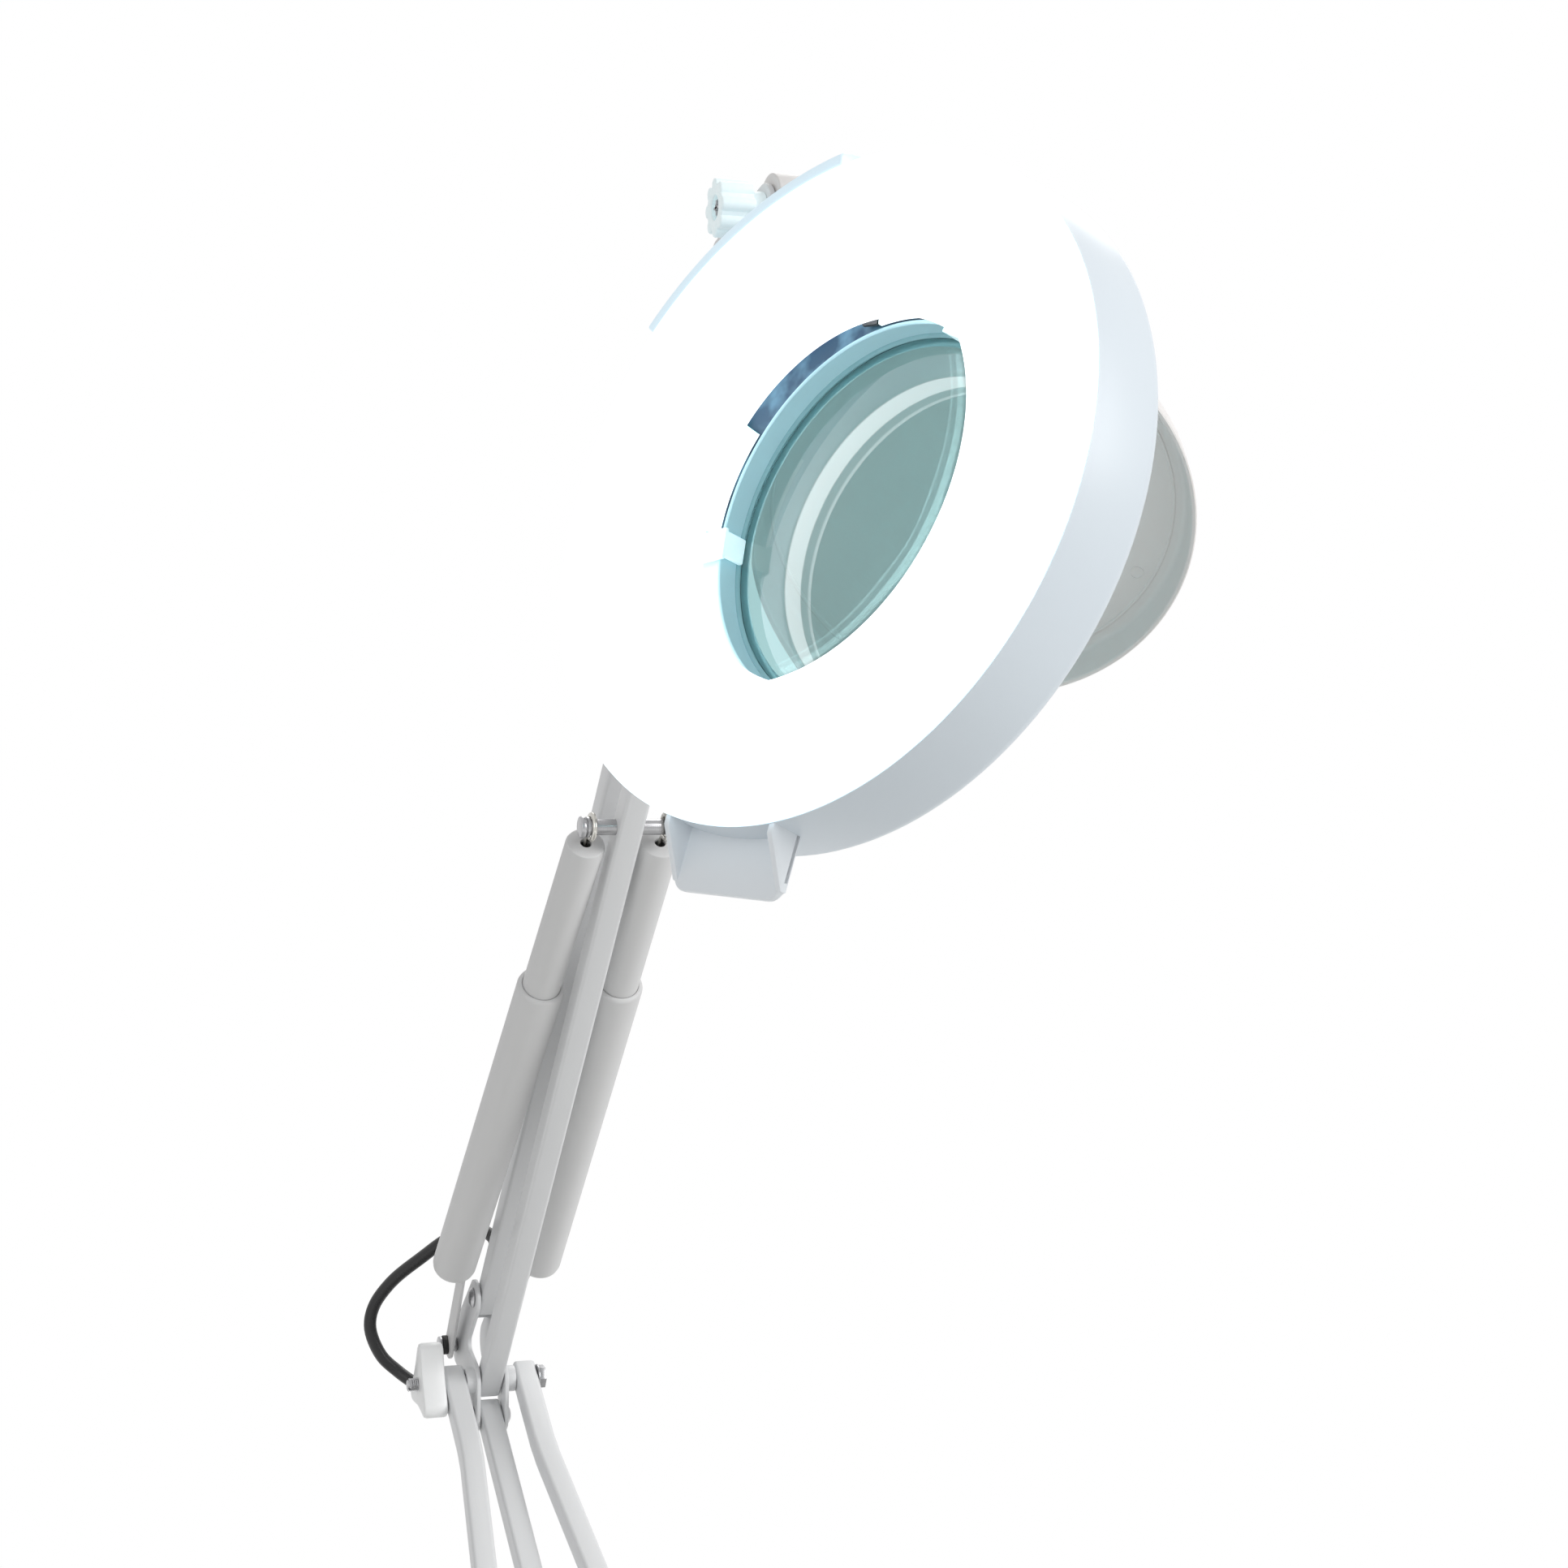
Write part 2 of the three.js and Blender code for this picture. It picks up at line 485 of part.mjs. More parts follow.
function tiltJoint() {
  const outer = HEAD_CHEEK_X + CHEEK;
  const bolt = steppedPin([[-24, PIN_RADIUS], [outer + GAP, 6], [outer + 4.5, 6]]);
  put(lamp, 'tilt_bolt', bolt.translate(...TILT.toArray()), STEEL());

  const knob = groupAt(lamp, TILT.toArray());
  const lobes = 8;
  const star = Array.from({ length: lobes * 4 }, (_, i) => {
    const angle = (i / (lobes * 4)) * 2 * Math.PI;
    const radius = 9.4 + 0.9 * Math.cos(lobes * angle);
    return [radius * Math.cos(angle), radius * Math.sin(angle)];
  });
  const grip = join(plateYZ(star, -27, 12.5), barX(6.5, -16, -outer - GAP, 0, 0, 24));
  const bore = join(barX(PIN_RADIUS + 0.4, -26, -5), barX(4.2, -30, -22.5));
  put(knob, 'tilt_knob', cut(grip, bore), WHITE_PLASTIC());

  const block = groupAt(lamp, TILT.toArray(), [HEAD_TILT, 0, 0]);
  const half = HEAD_CHEEK_X - 0.5;
  const boss = join(barX(TILT_BOSS, -half, half, 0, 0, 28), box(2 * half, 16, 15, 0, -8, 0));
  put(block, 'tilt_block', cut(boss, barX(PIN_RADIUS + 0.4, -20, 20)), GREY_PLASTIC());
  const stud = turned(lathe([[0, 16 + GAP], [7.5, 16 + GAP], [7.5, 18.4], [5, 18.4], [5, 29.7], [0, 29.7]], 16), 90);
  put(block, 'swivel_stud', stud, STEEL());
}

// ---- head ---------------------------------------------------------------------------------------

// The place at a radius and an angle from the neck, turning towards the head's left.
const onHead = (radius, angle) => [-radius * Math.sin(angle * DEG), radius * Math.cos(angle * DEG)];

// A prism over a ring sector centred on the given angle, for cutting a turned piece.
function sector(inner, outer, angle, halfAngle, z0, z1, steps = 6) {
  const arc = (radius, from, to) => Array.from({ length: steps + 1 }, (_, i) =>
    onHead(radius, from + ((to - from) * i) / steps));
  const points = [...arc(outer, angle - halfAngle, angle + halfAngle),
    ...arc(inner, angle + halfAngle, angle - halfAngle)];
  const shape = new THREE.Shape(points.map(([x, y]) => new THREE.Vector2(x, y)));
  return new THREE.ExtrudeGeometry(shape, { depth: z1 - z0, bevelEnabled: false }).translate(0, 0, z0);
}

function handle() {
  const half = HANDLE_WIDTH / 2;
  const root = RIM_RADIUS - 1.5;
  const thick = 2.4;
  const corner = 6;
  const outline = new THREE.Shape();
  outline.moveTo(-half, root - 3);
  outline.lineTo(half, root - 3);
  outline.lineTo(half - 1, HANDLE_REACH - corner);
  outline.quadraticCurveTo(half - 1, HANDLE_REACH, half - 1 - corner, HANDLE_REACH);
  outline.lineTo(-half + 1 + corner, HANDLE_REACH);
  outline.quadraticCurveTo(-half + 1, HANDLE_REACH, -half + 1, HANDLE_REACH - corner);
  const plate = new THREE.ExtrudeGeometry(outline, { depth: thick, bevelEnabled: false, curveSegments: 4 })
    .translate(0, 0, -HANDLE_DEPTH - thick);
  const gusset = [[root - 3, -HANDLE_DEPTH - thick], [HANDLE_REACH - 3, -HANDLE_DEPTH - thick],
    [HANDLE_REACH - 3, -HANDLE_DEPTH], [root + 2, -3.4], [root - 3, -3.4]];
  const scoop = join(plate, plateYZ(gusset, -half, thick), plateYZ(gusset, half - thick, thick));
  return turned(scoop, 0, 0, HANDLE_ANGLE);
}

function housing(head) {
  const shell = lathe([
    [RIM_RADIUS - WALL, -3.1], [RIM_RADIUS, -3.1], [REAR_RADIUS, -WALL_DEPTH + 3.5],
    [REAR_RADIUS - 0.9, -WALL_DEPTH + 1.2], [REAR_RADIUS - 3, -WALL_DEPTH],
    [COLLAR_RADIUS + 1, -WALL_DEPTH], [COLLAR_RADIUS, COLLAR_END + 1], [COLLAR_RADIUS - 1, COLLAR_END], [60.5, COLLAR_END],
    [60.5, COLLAR_END + 1.6], [LENS_RADIUS + 0.6, COLLAR_END + 1.6], [LENS_RADIUS + 0.6, COLLAR_FACE],
    [COLLAR_RADIUS, COLLAR_FACE], [COLLAR_RADIUS, -WALL_DEPTH + 2.2], [RIM_RADIUS - WALL + 0.6, -WALL_DEPTH + 2.2],
  ].reverse(), HEAD_SIDES, true);
  const fan = common(
    lathe([[RIM_RADIUS - 1.5, -3.1], [RIM_RADIUS + 0.5, -3.1], [RIM_RADIUS + 0.5, -1], [RIM_RADIUS + 4.5, -1],
      [RIM_RADIUS + 6, -3], [RIM_RADIUS + 12, -19], [RIM_RADIUS + 12, -WALL_DEPTH + 1.5],
      [RIM_RADIUS + 10, -WALL_DEPTH], [RIM_RADIUS - 1.5, -WALL_DEPTH]].reverse(), HEAD_SIDES, true),
    sector(RIM_RADIUS - 8, RIM_RADIUS + 30, 0, NECK_HALF_ANGLE, -40, 10),
  );
  const boss = turned(lathe([[0, 111], [11, 111], [11, 123.5], [9.5, 125], [0, 125]], 28), -90)
    .translate(0, 0, -NECK_DEPTH);
  const studBore = turned(lathe([[0, 113], [5.4, 113], [5.4, 140], [0, 140]], 20), -90)
    .translate(0, 0, -NECK_DEPTH);
  const lugs = [-1, 1].map((side) => plateYZ(beltOutline([[COVER_HINGE + 2.5, -WALL_DEPTH + 0.6, 0.6],
    [COVER_HINGE - 2.5, -WALL_DEPTH + 0.6, 0.6], [COVER_HINGE, COVER_HINGE_Z, 3.1]]), side > 0 ? 11 : -14, 3));
  const post = (radius, angle, top) => {
    const [x, y] = onHead(radius, angle);
    return lathe([[0, -WALL_DEPTH + 1], [3, -WALL_DEPTH + 1], [3, top], [0, top]], 12).translate(x, y, 0);
  };
  const posts = [...[100, 180, 260].map((angle) => post(93, angle, BOARD_Z - 1.6 - GAP)),
    ...CLIP_ANGLES.map((angle) => post(CLIP_POST, angle, COLLAR_FACE))];
  const [sx, sy] = onHead(94, SWITCH_ANGLE);
  const switchHole = turned(box(21, 14, 12), 0, 0, SWITCH_ANGLE).translate(sx, sy, -WALL_DEPTH);
  const whole = join(shell, fan, boss, handle(), ...lugs, ...posts);
  put(head, 'housing', cut(whole, studBore, switchHole, barX(1.9, -20, 20, COVER_HINGE, COVER_HINGE_Z, 16)),
    WHITE_PLASTIC());

  const bezel = cut(turned(join(box(24, 17, 1.4, 0, 0, -WALL_DEPTH - 1), box(20.4, 13.4, 9, 0, 0, -WALL_DEPTH + 3.4)),
    0, 0, SWITCH_ANGLE), turned(box(18, 12, 9, 0, 0, -WALL_DEPTH + 1.5), 0, 0, SWITCH_ANGLE));
  put(head, 'switch_body', bezel.translate(sx, sy, 0), BLACK());
  const rocker = turned(plateYZ([[-4.9, 1.2], [4.9, 1.2], [4.9, -2.6], [0, -1.7], [-4.9, -0.8]], -8.7, 17.4), 0, 0, SWITCH_ANGLE);
  const gland = lathe([[2.8, 0], [4.2, 0], [6, 8], [6, 10], [2.8, 10]], 20, true);
  put(head, 'head_gland', gland.translate(GLAND[0], GLAND[1], -WALL_DEPTH - 10 - GAP), BLACK());
  put(head, 'switch_rocker', rocker.translate(sx, sy, -WALL_DEPTH), BLACK());
}

function light(head) {
  const skin = 2.2;
  const diffuser = lathe([
    [RIM_RADIUS, -2.7], [RIM_RADIUS, -0.9], [RIM_RADIUS - 0.8, 0], [92, CROWN * 0.62],
    [APERTURE + 0.8, CROWN], [APERTURE, CROWN - 0.8], SKIRT, [SKIRT[0] + 1.8, SKIRT[1]],
    [APERTURE + 1.8, CROWN - skin], [92, CROWN * 0.62 - skin], [RIM_RADIUS - WALL, -skin - 0.5],
  ], HEAD_SIDES, true);
  put(head, 'diffuser', diffuser, paint(0xffffff, 0.4));

  const ring = lathe([[BOARD_INNER, BOARD_Z - 1.6], [BOARD_OUTER, BOARD_Z - 1.6], [BOARD_OUTER, BOARD_Z],
    [BOARD_INNER, BOARD_Z]], 60, true);
  const board = cut(ring, sector(60, 130, -9, 36, -40, 0));
  const leds = Array.from({ length: LED_COUNT }, (_, i) => {
    const angle = 33 + (282 * i) / (LED_COUNT - 1);
    const [x, y] = onHead(i % 2 ? 98 : 87, angle);
    return turned(box(3.6, 2.8, 1.4), 0, 0, angle).translate(x, y, BOARD_Z + 0.5);
  });
  put(head, 'led_board', join(board, ...leds), paint(0xf2f5f4, 0.5));
  const [dx, dy] = onHead(93, -4);
  put(head, 'lamp_driver', turned(box(44, 22, 9), 0, 0, -4).translate(dx, dy, -WALL_DEPTH + 2.2 + GAP + 4.5),
    paint(0x2a4a7a, 0.5));
}

function lensParts(head) {
  const seat = COLLAR_END + 1.6 + GAP;
  const front = seat + LENS_EDGE;
  const bowl = LENS_RADIUS - LENS_EDGE;
  const bulge = (r) => LENS_SAG * (1 - Math.min(r / bowl, 1) ** 2);
  const radii = [...[0, 0.35, 0.65, 0.85, 1].map((k) => k * bowl), LENS_RADIUS];
  const lens = lathe([
    ...radii.map((r) => [r, seat - bulge(r)]),
    ...radii.slice().reverse().map((r) => [r, front + bulge(r)]),
  ], 36);
  put(head, 'lens', lens, new THREE.MeshStandardMaterial({
    color: 0x9fc4bf, roughness: 0.05, metalness: 0, transparent: true, opacity: 0.6,
  }));
  // Each clip lies on its post and the tube's edge, and its finger reaches down to the lens.
  const plate = COLLAR_FACE + GAP;
  const tip = front + GAP;
  CLIP_ANGLES.forEach((angle, i) => {
    const clip = join(box(11, 15.4, 1.5, 0, 69, plate + 0.75), box(9, 2, plate + 1 - tip, 0, 62.3, (plate + 1 + tip) / 2),
      lathe([[0, plate + 1], [3, plate + 1], [3, plate + 2.6], [1.5, plate + 3.2], [0, plate + 3.2]], 14)
        .translate(0, CLIP_POST, 0));
    put(head, `lens_clip_${i + 1}`, turned(clip, 0, 0, angle), WHITE_PLASTIC());
  });
}

function lensCover(head) {
  const pin = barX(1.5, -14.5, 14.5, COVER_HINGE, COVER_HINGE_Z, 16);
  put(head, 'cover_pin', pin, STEEL());
  const cover = groupAt(head, [0, COVER_HINGE, COVER_HINGE_Z], [COVER_OPEN, 0, 0]);
  const rim = -WALL_DEPTH - 1 - COVER_HINGE_Z;
  const back = rim - COVER_DEPTH;
  const dish = lathe([[0, back], [COVER_RADIUS - 5, back], [COVER_RADIUS - 2, back + 3], [COVER_RADIUS, rim],
    [COVER_RADIUS - 1.8, rim], [COVER_RADIUS - 3.8, back + 3.4], [COVER_RADIUS - 5.6, back + 1.8], [0, back + 1.8]], 44)
    .translate(0, -COVER_HINGE, 0);
  const knuckle = join(barX(3, -10.5, 10.5, 0, 0, 20), box(21, 7, 2.4, 0, -4, -1));
  put(cover, 'lens_cover', cut(join(dish, knuckle), barX(1.9, -20, 20, 0, 0, 16)), GREY_PLASTIC());
}

function headAssembly() {
  const tilt = groupAt(lamp, TILT.toArray(), [HEAD_TILT, 0, 0]);
  const swivel = groupAt(tilt, [0, 0, 0], [0, HEAD_SWIVEL, 0]);
  const head = groupAt(swivel, [0, -NECK_REACH, NECK_DEPTH]);
  housing(head);
  light(head);
  lensParts(head);
  lensCover(head);
}

// ---- mains lead ---------------------------------------------------------------------------------

// A coil in two layers: in on the table, up at its middle, and out again on top. It starts and ends
// straight, along +Y.
class CoilCurve extends THREE.Curve {
  getPoint(t, target = new THREE.Vector3()) {
    const wound = 2 * Math.PI * COIL_RADIUS * COIL_TURNS;
    const along = t * (COIL_ENDS[0] + wound + COIL_ENDS[1]) - COIL_ENDS[0];
    const turns = THREE.MathUtils.clamp(along / wound, 0, 1) * COIL_TURNS;
    const straight = along - THREE.MathUtils.clamp(along, 0, wound);
    const fromMiddle = Math.abs(turns - COIL_TURNS / 2);
    const radius = COIL_RADIUS + (fromMiddle - COIL_TURNS / 4) * COIL_PITCH;
    const climb = THREE.MathUtils.smoothstep(turns, COIL_TURNS / 2 - 0.25, COIL_TURNS / 2 + 0.25);
    const angle = Math.PI - turns * 2 * Math.PI;
    return target.set(COIL_CENTRE[0] + radius * Math.cos(angle),
      COIL_CENTRE[1] + radius * Math.sin(angle) + straight, CORD + 0.1 + climb * COIL_PITCH);
  }
}

function leastCoilGap(curve) {
  const count = COIL_TURNS * 48;
  const apart = 30;
  const points = curve.getSpacedPoints(count);
  let least = Infinity;
  for (let i = 0; i <= count; i += 1) {
    for (let j = i + apart; j <= count; j += 1) least = Math.min(least, points[i].distanceTo(points[j]));
  }
  return least - 2 * CORD;
}

function mainsLead() {
  const route = (points) => new THREE.CatmullRomCurve3(points.map((p) => new THREE.Vector3(...p)), false, 'centripetal');

  // Slack loop past the elbow, out of the rear bar and into the left outer bar.
  const elbowLoop = route([
    [0, -15.9, 68.2], [-0.6, -10.2, 73.5], [-7, 0, 76.5], [-18, 11, 71], [-30, 22, 60], [-44, 33, 46],
    [-52, 38, 33], [-53.5, 39, 22], [-48, 38, 8], [-40, 36, 0], [-33.5, 32.4, -5], [-27.5, 28.2, -8.8],
    [-23, 23.2, -11.2], [-19.9, 17.2, -13], [-18.6, 9.5, -14], [-18.4, 2, -14.2], [-18.4, -5.1, -13.5],
  ].map(([x, y, z]) => [x, y + ELBOW.y, z + ELBOW.z]));
  put(lamp, 'elbow_cord', cordAlong(elbowLoop, CORD, 22, 10), BLACK());

  // Slack loop from the rear bar's top, over the tilt joint, to the gland on the back of the head.
  const headLoop = route([
    [0, 48.2, -1.9], [0, 43, 3], [0.5, 36, 7.4], [3, 28.5, 10.4], [8, 21, 12], [14, 14, 10.8],
    [20, 7, 6.5], [25, 1, -1], [27.5, -3, -11], [28, -4, -25], [24.5, -4, -38], [16, -5.5, -47.5],
    [7, -8.6, -50.4], [-1.5, -12.1, -48.4],
  ].map(([x, y, z]) => [x, y + TILT.y, z + TILT.z]));
  put(lamp, 'head_cord', cordAlong(headLoop, CORD - 0.7, 22, 8), BLACK());

  // Lead from the strain relief on the clamp's socket, down to the table and round to the coil.
  const relief = turned(lathe([[0, 0], [5.6, 0], [5.6, 3], [CORD + 0.6, RELIEF_LENGTH], [0, RELIEF_LENGTH]], 16), 90);
  put(lamp, 'lead_relief', relief.translate(0, -SOCKET_RADIUS - 1.2 - GAP, RELIEF_HEIGHT), BLACK());
  const coil = new CoilCurve();
  const start = coil.getPoint(0);
  const rest = CORD + 0.1;
  const exit = -SOCKET_RADIUS - 1.2 - GAP - RELIEF_LENGTH - GAP;
  const lead = route([
    [0, exit, RELIEF_HEIGHT], [0, exit - 8, RELIEF_HEIGHT], [0, exit - 19, 19], [0, exit - 31, 12.5],
    [0, exit - 43, 6], [0.5, exit - 54, rest], [3.5, exit - 68, rest], [10, exit - 80, rest],
    [21, exit - 89, rest], [34, exit - 92, rest], [48, exit - 88, rest], [58, exit - 79, rest],
    [64, start.y - 15, rest], [start.x, start.y - 7, rest], [start.x, start.y - GAP, rest],
  ]);
  put(lamp, 'lead_stretch', cordAlong(lead, CORD, 24, 10), BLACK());
  put(lamp, 'lead_coil', cordAlong(coil, CORD, COIL_TURNS * 24, 6), BLACK());
  console.log(`lead stretch ${lead.getLength().toFixed(0)} mm, coil ${coil.getLength().toFixed(0)} mm, `
    + `least gap of the coil to itself ${leastCoilGap(coil).toFixed(2)} mm`);
}

// A moulded plug with two flat blades, lying on the table at the coil's end.
function plug() {
  const end = new CoilCurve().getPoint(1);
  const holder = groupAt(lamp, [end.x, end.y + GAP, end.z]);
  const sleeve = turned(lathe([[0, 0], [CORD + 0.6, 0], [6.2, 22], [8.5, 26], [0, 26]], 16), -90);
  const body = box(25, 30, 2 * end.z - 0.6, 0, 38, 0);
  const shoulder = box(19, 6, 15, 0, 24.5, 0);
  const blades = [-6.35, 6.35].map((x) => box(1.6, 20, 6.3, x, 60, 0));
  put(holder, 'lead_plug', join(sleeve, shoulder, body, ...blades), BLACK());
}

clamp();
turret();
lowerArm();
elbowKnob();
elbowBracket();
springs();
upperArm();
headBracket();
tiltJoint();
headAssembly();
mainsLead();
plug();

export default lamp;
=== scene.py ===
"""Magnifying lamp: spring balanced arm, table clamp, ring light and glass lens.

The shapes are worked out in millimetres in each part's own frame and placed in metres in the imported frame.
"""
from math import acos, atan2, cos, degrees, pi, radians, sin, sqrt

import bmesh
import bpy
from mathutils import Matrix, Vector


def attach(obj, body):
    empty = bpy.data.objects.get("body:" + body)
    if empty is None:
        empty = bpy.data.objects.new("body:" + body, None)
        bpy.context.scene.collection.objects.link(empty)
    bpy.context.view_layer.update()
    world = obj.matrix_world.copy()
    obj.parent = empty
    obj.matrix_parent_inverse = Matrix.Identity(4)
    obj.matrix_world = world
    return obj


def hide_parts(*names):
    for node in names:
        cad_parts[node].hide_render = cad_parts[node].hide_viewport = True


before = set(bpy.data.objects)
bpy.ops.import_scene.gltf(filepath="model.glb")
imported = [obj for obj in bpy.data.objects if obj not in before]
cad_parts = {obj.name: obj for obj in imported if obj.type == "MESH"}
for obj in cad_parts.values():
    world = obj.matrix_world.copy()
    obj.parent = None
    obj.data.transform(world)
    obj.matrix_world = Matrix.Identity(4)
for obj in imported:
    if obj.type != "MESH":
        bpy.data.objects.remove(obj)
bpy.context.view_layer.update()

scene = bpy.context.scene
MM = 0.001

# ---- camera ---------------------------------------------------------------------------------------

view = bpy.data.objects.new("view", bpy.data.cameras.new("view"))
view.data.lens = 65.46
view.data.sensor_width = 36
view.data.clip_start = 0.01
view.data.clip_end = 30
view.location = (-0.316, -0.944, 0.684)
view.rotation_euler = (radians(90), 0, radians(-18.5))
scene.collection.objects.link(view)
scene.camera = view
scene.view_settings.view_transform = "Standard"

# ---- measures, in millimetres and degrees ---------------------------------------------------------

SIDES = ((-1, "left"), (1, "right"))

# Arm: square tubes, the lengths between pivots, the lean from upright, the outer bars' places at the
# elbow and at the turret, the radii of the pins and of the rods that the springs pull on, and how far
# up each arm the rods are.
TUBE = 11
TUBE_END = 8
UPPER_LENGTH = 615
UPPER_LEAN = 43
LOWER_LENGTH = 560
LOWER_LEAN = 57
UPPER_RISE = 42
LOWER_DROP = 18
OUTER_TOP = 18.4
OUTER_BOTTOM = 32
PIN = 3
ROD = 3.3
ROD_UP = 387
ROD_DOWN = 350

# Brackets: where the cheeks' inner faces stand, how thick the cheeks are, and the place of the tilt
# joint ahead of and above the top of the arm.
ELBOW_CHEEK = 6.2
HEAD_CHEEK = 7.2
CHEEK = 2
TILT_FORWARD = 54
TILT_RISE = 50

# Springs: the pins at their feet, then the sleeve's radius, the sliding tube's radius, and the sleeve's
# start and length from the foot pin.
UPPER_FOOT = (40, 11)
LOWER_FOOT = (0, 16.5)
UPPER_COVERS = (10.8, 8.5, 74, 228)
LOWER_COVERS = (9, 7.15, 66, 210)

# Clamp and turret.
BASE_HEIGHT = 78
SCREW_Y = -18
TURRET_FLOOR = 40.3
TURRET_CHEEK = 22

# Head: radii and depths; places along its axis count from the front rim's plane and fall to the back.
RIM = 113
REAR = 114.8
WALL_DEPTH = 31
WALL = 2.2
NECK_REACH = 143.7
NECK_DEPTH = 33
HANDLE_REACH = 132
HANDLE_ANGLE = 143.5
CLIP_ANGLES = (63.5, 183.5, 303.5)
CLIP_POST = 73
APERTURE = 69.5
CROWN = 5
SKIRT = (62, -17)
LENS = 63.5
LENS_SEAT = -38.6
LENS_EDGE = 3.5
LENS_BULGE = 5.8
COLLAR = 65.4
COLLAR_BORE = 64.1
COLLAR_FACE = -26.8
COLLAR_END = -40.5
BOARD_FACE = -24.9
BOARD = 1.6
HINGE_Y = 77
HINGE_Z = -36.3
COVER_DEPTH = 15

# Cords: the lead's and the elbow loop's radius, and the thinner head loop's.
CORD = 3.2
HEAD_CORD = 2.5


def turn(axis, angle):
    return Matrix.Rotation(radians(angle), 4, axis)


def move(x=0, y=0, z=0):
    return Matrix.Translation((x, y, z))


def held(value, low=0, high=1):
    """The value, kept between two limits."""
    return min(max(value, low), high)


def leaning(length, angle):
    """The vector of an arm that leans back by an angle from upright."""
    return length * Vector((0, sin(radians(angle)), cos(radians(angle))))


ALONG_X = turn("Y", 90)
ALONG_Y = turn("X", -90)
IN_YZ = Matrix(((0, 0, 1, 0), (1, 0, 0, 0), (0, 1, 0, 0), (0, 0, 0, 1)))
BASE = Vector((0, 0, BASE_HEIGHT))
ELBOW = BASE + leaning(LOWER_LENGTH, LOWER_LEAN)
TOP = ELBOW + leaning(UPPER_LENGTH, -UPPER_LEAN)
TILT = TOP + Vector((0, -TILT_FORWARD, TILT_RISE))

CLAMP = Matrix()
CLAMP_SCREW = move(0, SCREW_Y, 0)
LOWER_ARM = Matrix.Translation(ELBOW) @ turn("X", -LOWER_LEAN)
LOWER_LINK = move(0, 0, -LOWER_DROP) @ LOWER_ARM
ELBOW_PLACE = Matrix.Translation(ELBOW)
UPPER_ARM = ELBOW_PLACE @ turn("X", UPPER_LEAN)
UPPER_LINK = move(0, 0, UPPER_RISE) @ UPPER_ARM
HANGER = Matrix.Translation(TOP)
TILT_PLACE = Matrix.Translation(TILT)
NECK = TILT_PLACE @ turn("X", 52.3)
HEAD = NECK @ turn("Y", -59.5) @ move(0, -NECK_REACH, NECK_DEPTH)
LENS_COVER = HEAD @ move(0, HINGE_Y, HINGE_Z) @ turn("X", 60)

# ---- shader groups --------------------------------------------------------------------------------


class Shading:
    """Adds nodes to a tree and links them by socket name."""

    def __init__(self, tree):
        self.tree = tree

    def node(self, kind, settings=None, **sockets):
        made = self.tree.nodes.new("ShaderNode" + kind)
        for key, value in (settings or {}).items():
            setattr(made, key, value)
        for key, value in sockets.items():
            self.feed(made.inputs[key.replace("_", " ")], value)
        return made

    def feed(self, socket, value):
        if isinstance(value, bpy.types.NodeSocket):
            self.tree.links.new(value, socket)
        else:
            socket.default_value = value

    def math(self, operation, first, second=0.0, clamp=False):
        made = self.node("Math", {"operation": operation, "use_clamp": clamp})
        self.feed(made.inputs[0], first)
        self.feed(made.inputs[1], second)
        return made.outputs[0]

    def vector_math(self, operation, first, second=(0, 0, 0)):
        made = self.node("VectorMath", {"operation": operation})
        self.feed(made.inputs[0], first)
        self.feed(made.inputs[1], second)
        return made.outputs

    def noise(self, scale, detail=3.0, vector=None):
        made = self.node("TexNoise", Scale=scale, Detail=detail)
        self.feed(made.inputs["Vector"], vector or self.node("TexCoord").outputs["Object"])
        return made.outputs["Fac"]

    def span(self, value, low, high, out_low=0.0, out_high=1.0):
        made = self.node("MapRange", Value=value, From_Min=low, From_Max=high, To_Min=out_low,
                         To_Max=out_high)
        return made.outputs["Result"]

    def blend(self, mask, first, second, kind="MIX"):
        made = self.node("Mix", {"data_type": "RGBA", "blend_type": kind})
        self.feed(made.inputs["Factor"], mask)
        self.feed(made.inputs[6], first)
        self.feed(made.inputs[7], second)
        return made.outputs[2]


def shader_group(name, inputs, outputs):
    """A node group, the means to add nodes to it, and its input and output sockets."""
    group = bpy.data.node_groups.new(name, "ShaderNodeTree")
    for label, kind, value in inputs:
        socket = group.interface.new_socket(label, in_out="INPUT", socket_type="NodeSocket" + kind)
        socket.default_value = value
    for label, kind in outputs:
        group.interface.new_socket(label, in_out="OUTPUT", socket_type="NodeSocket" + kind)
    given = group.nodes.new("NodeGroupInput").outputs
    result = group.nodes.new("NodeGroupOutput").inputs
    return group, Shading(group), given, result


def moulded_group():
    """Faint tone clouds and a fine grain, as on moulded plastic and sprayed paint."""
    group, work, given, result = shader_group(
        "moulded_surface",
        [("Colour", "Color", (0.8, 0.8, 0.8, 1)), ("Tone", "Float", 0.04), ("Cloud Scale", "Float", 25.0),
         ("Grain Scale", "Float", 1500.0), ("Roughness", "Float", 0.4), ("Spread", "Float", 0.08)],
        [("Colour", "Color"), ("Roughness", "Float"), ("Height", "Float")])
    centred = work.math("SUBTRACT", work.noise(given["Cloud Scale"], 4.0), 0.5)
    tone = work.math("ADD", 1.0, work.math("MULTIPLY", centred, given["Tone"]))
    shade = work.node("CombineColor", Red=tone, Green=tone, Blue=tone)
    work.feed(result["Colour"], work.blend(1.0, given["Colour"], shade.outputs["Color"], "MULTIPLY"))
    uneven = work.math("MULTIPLY", centred, given["Spread"])
    work.feed(result["Roughness"], work.math("ADD", given["Roughness"], uneven))
    work.feed(result["Height"], work.noise(given["Grain Scale"], 2.0))
    return group


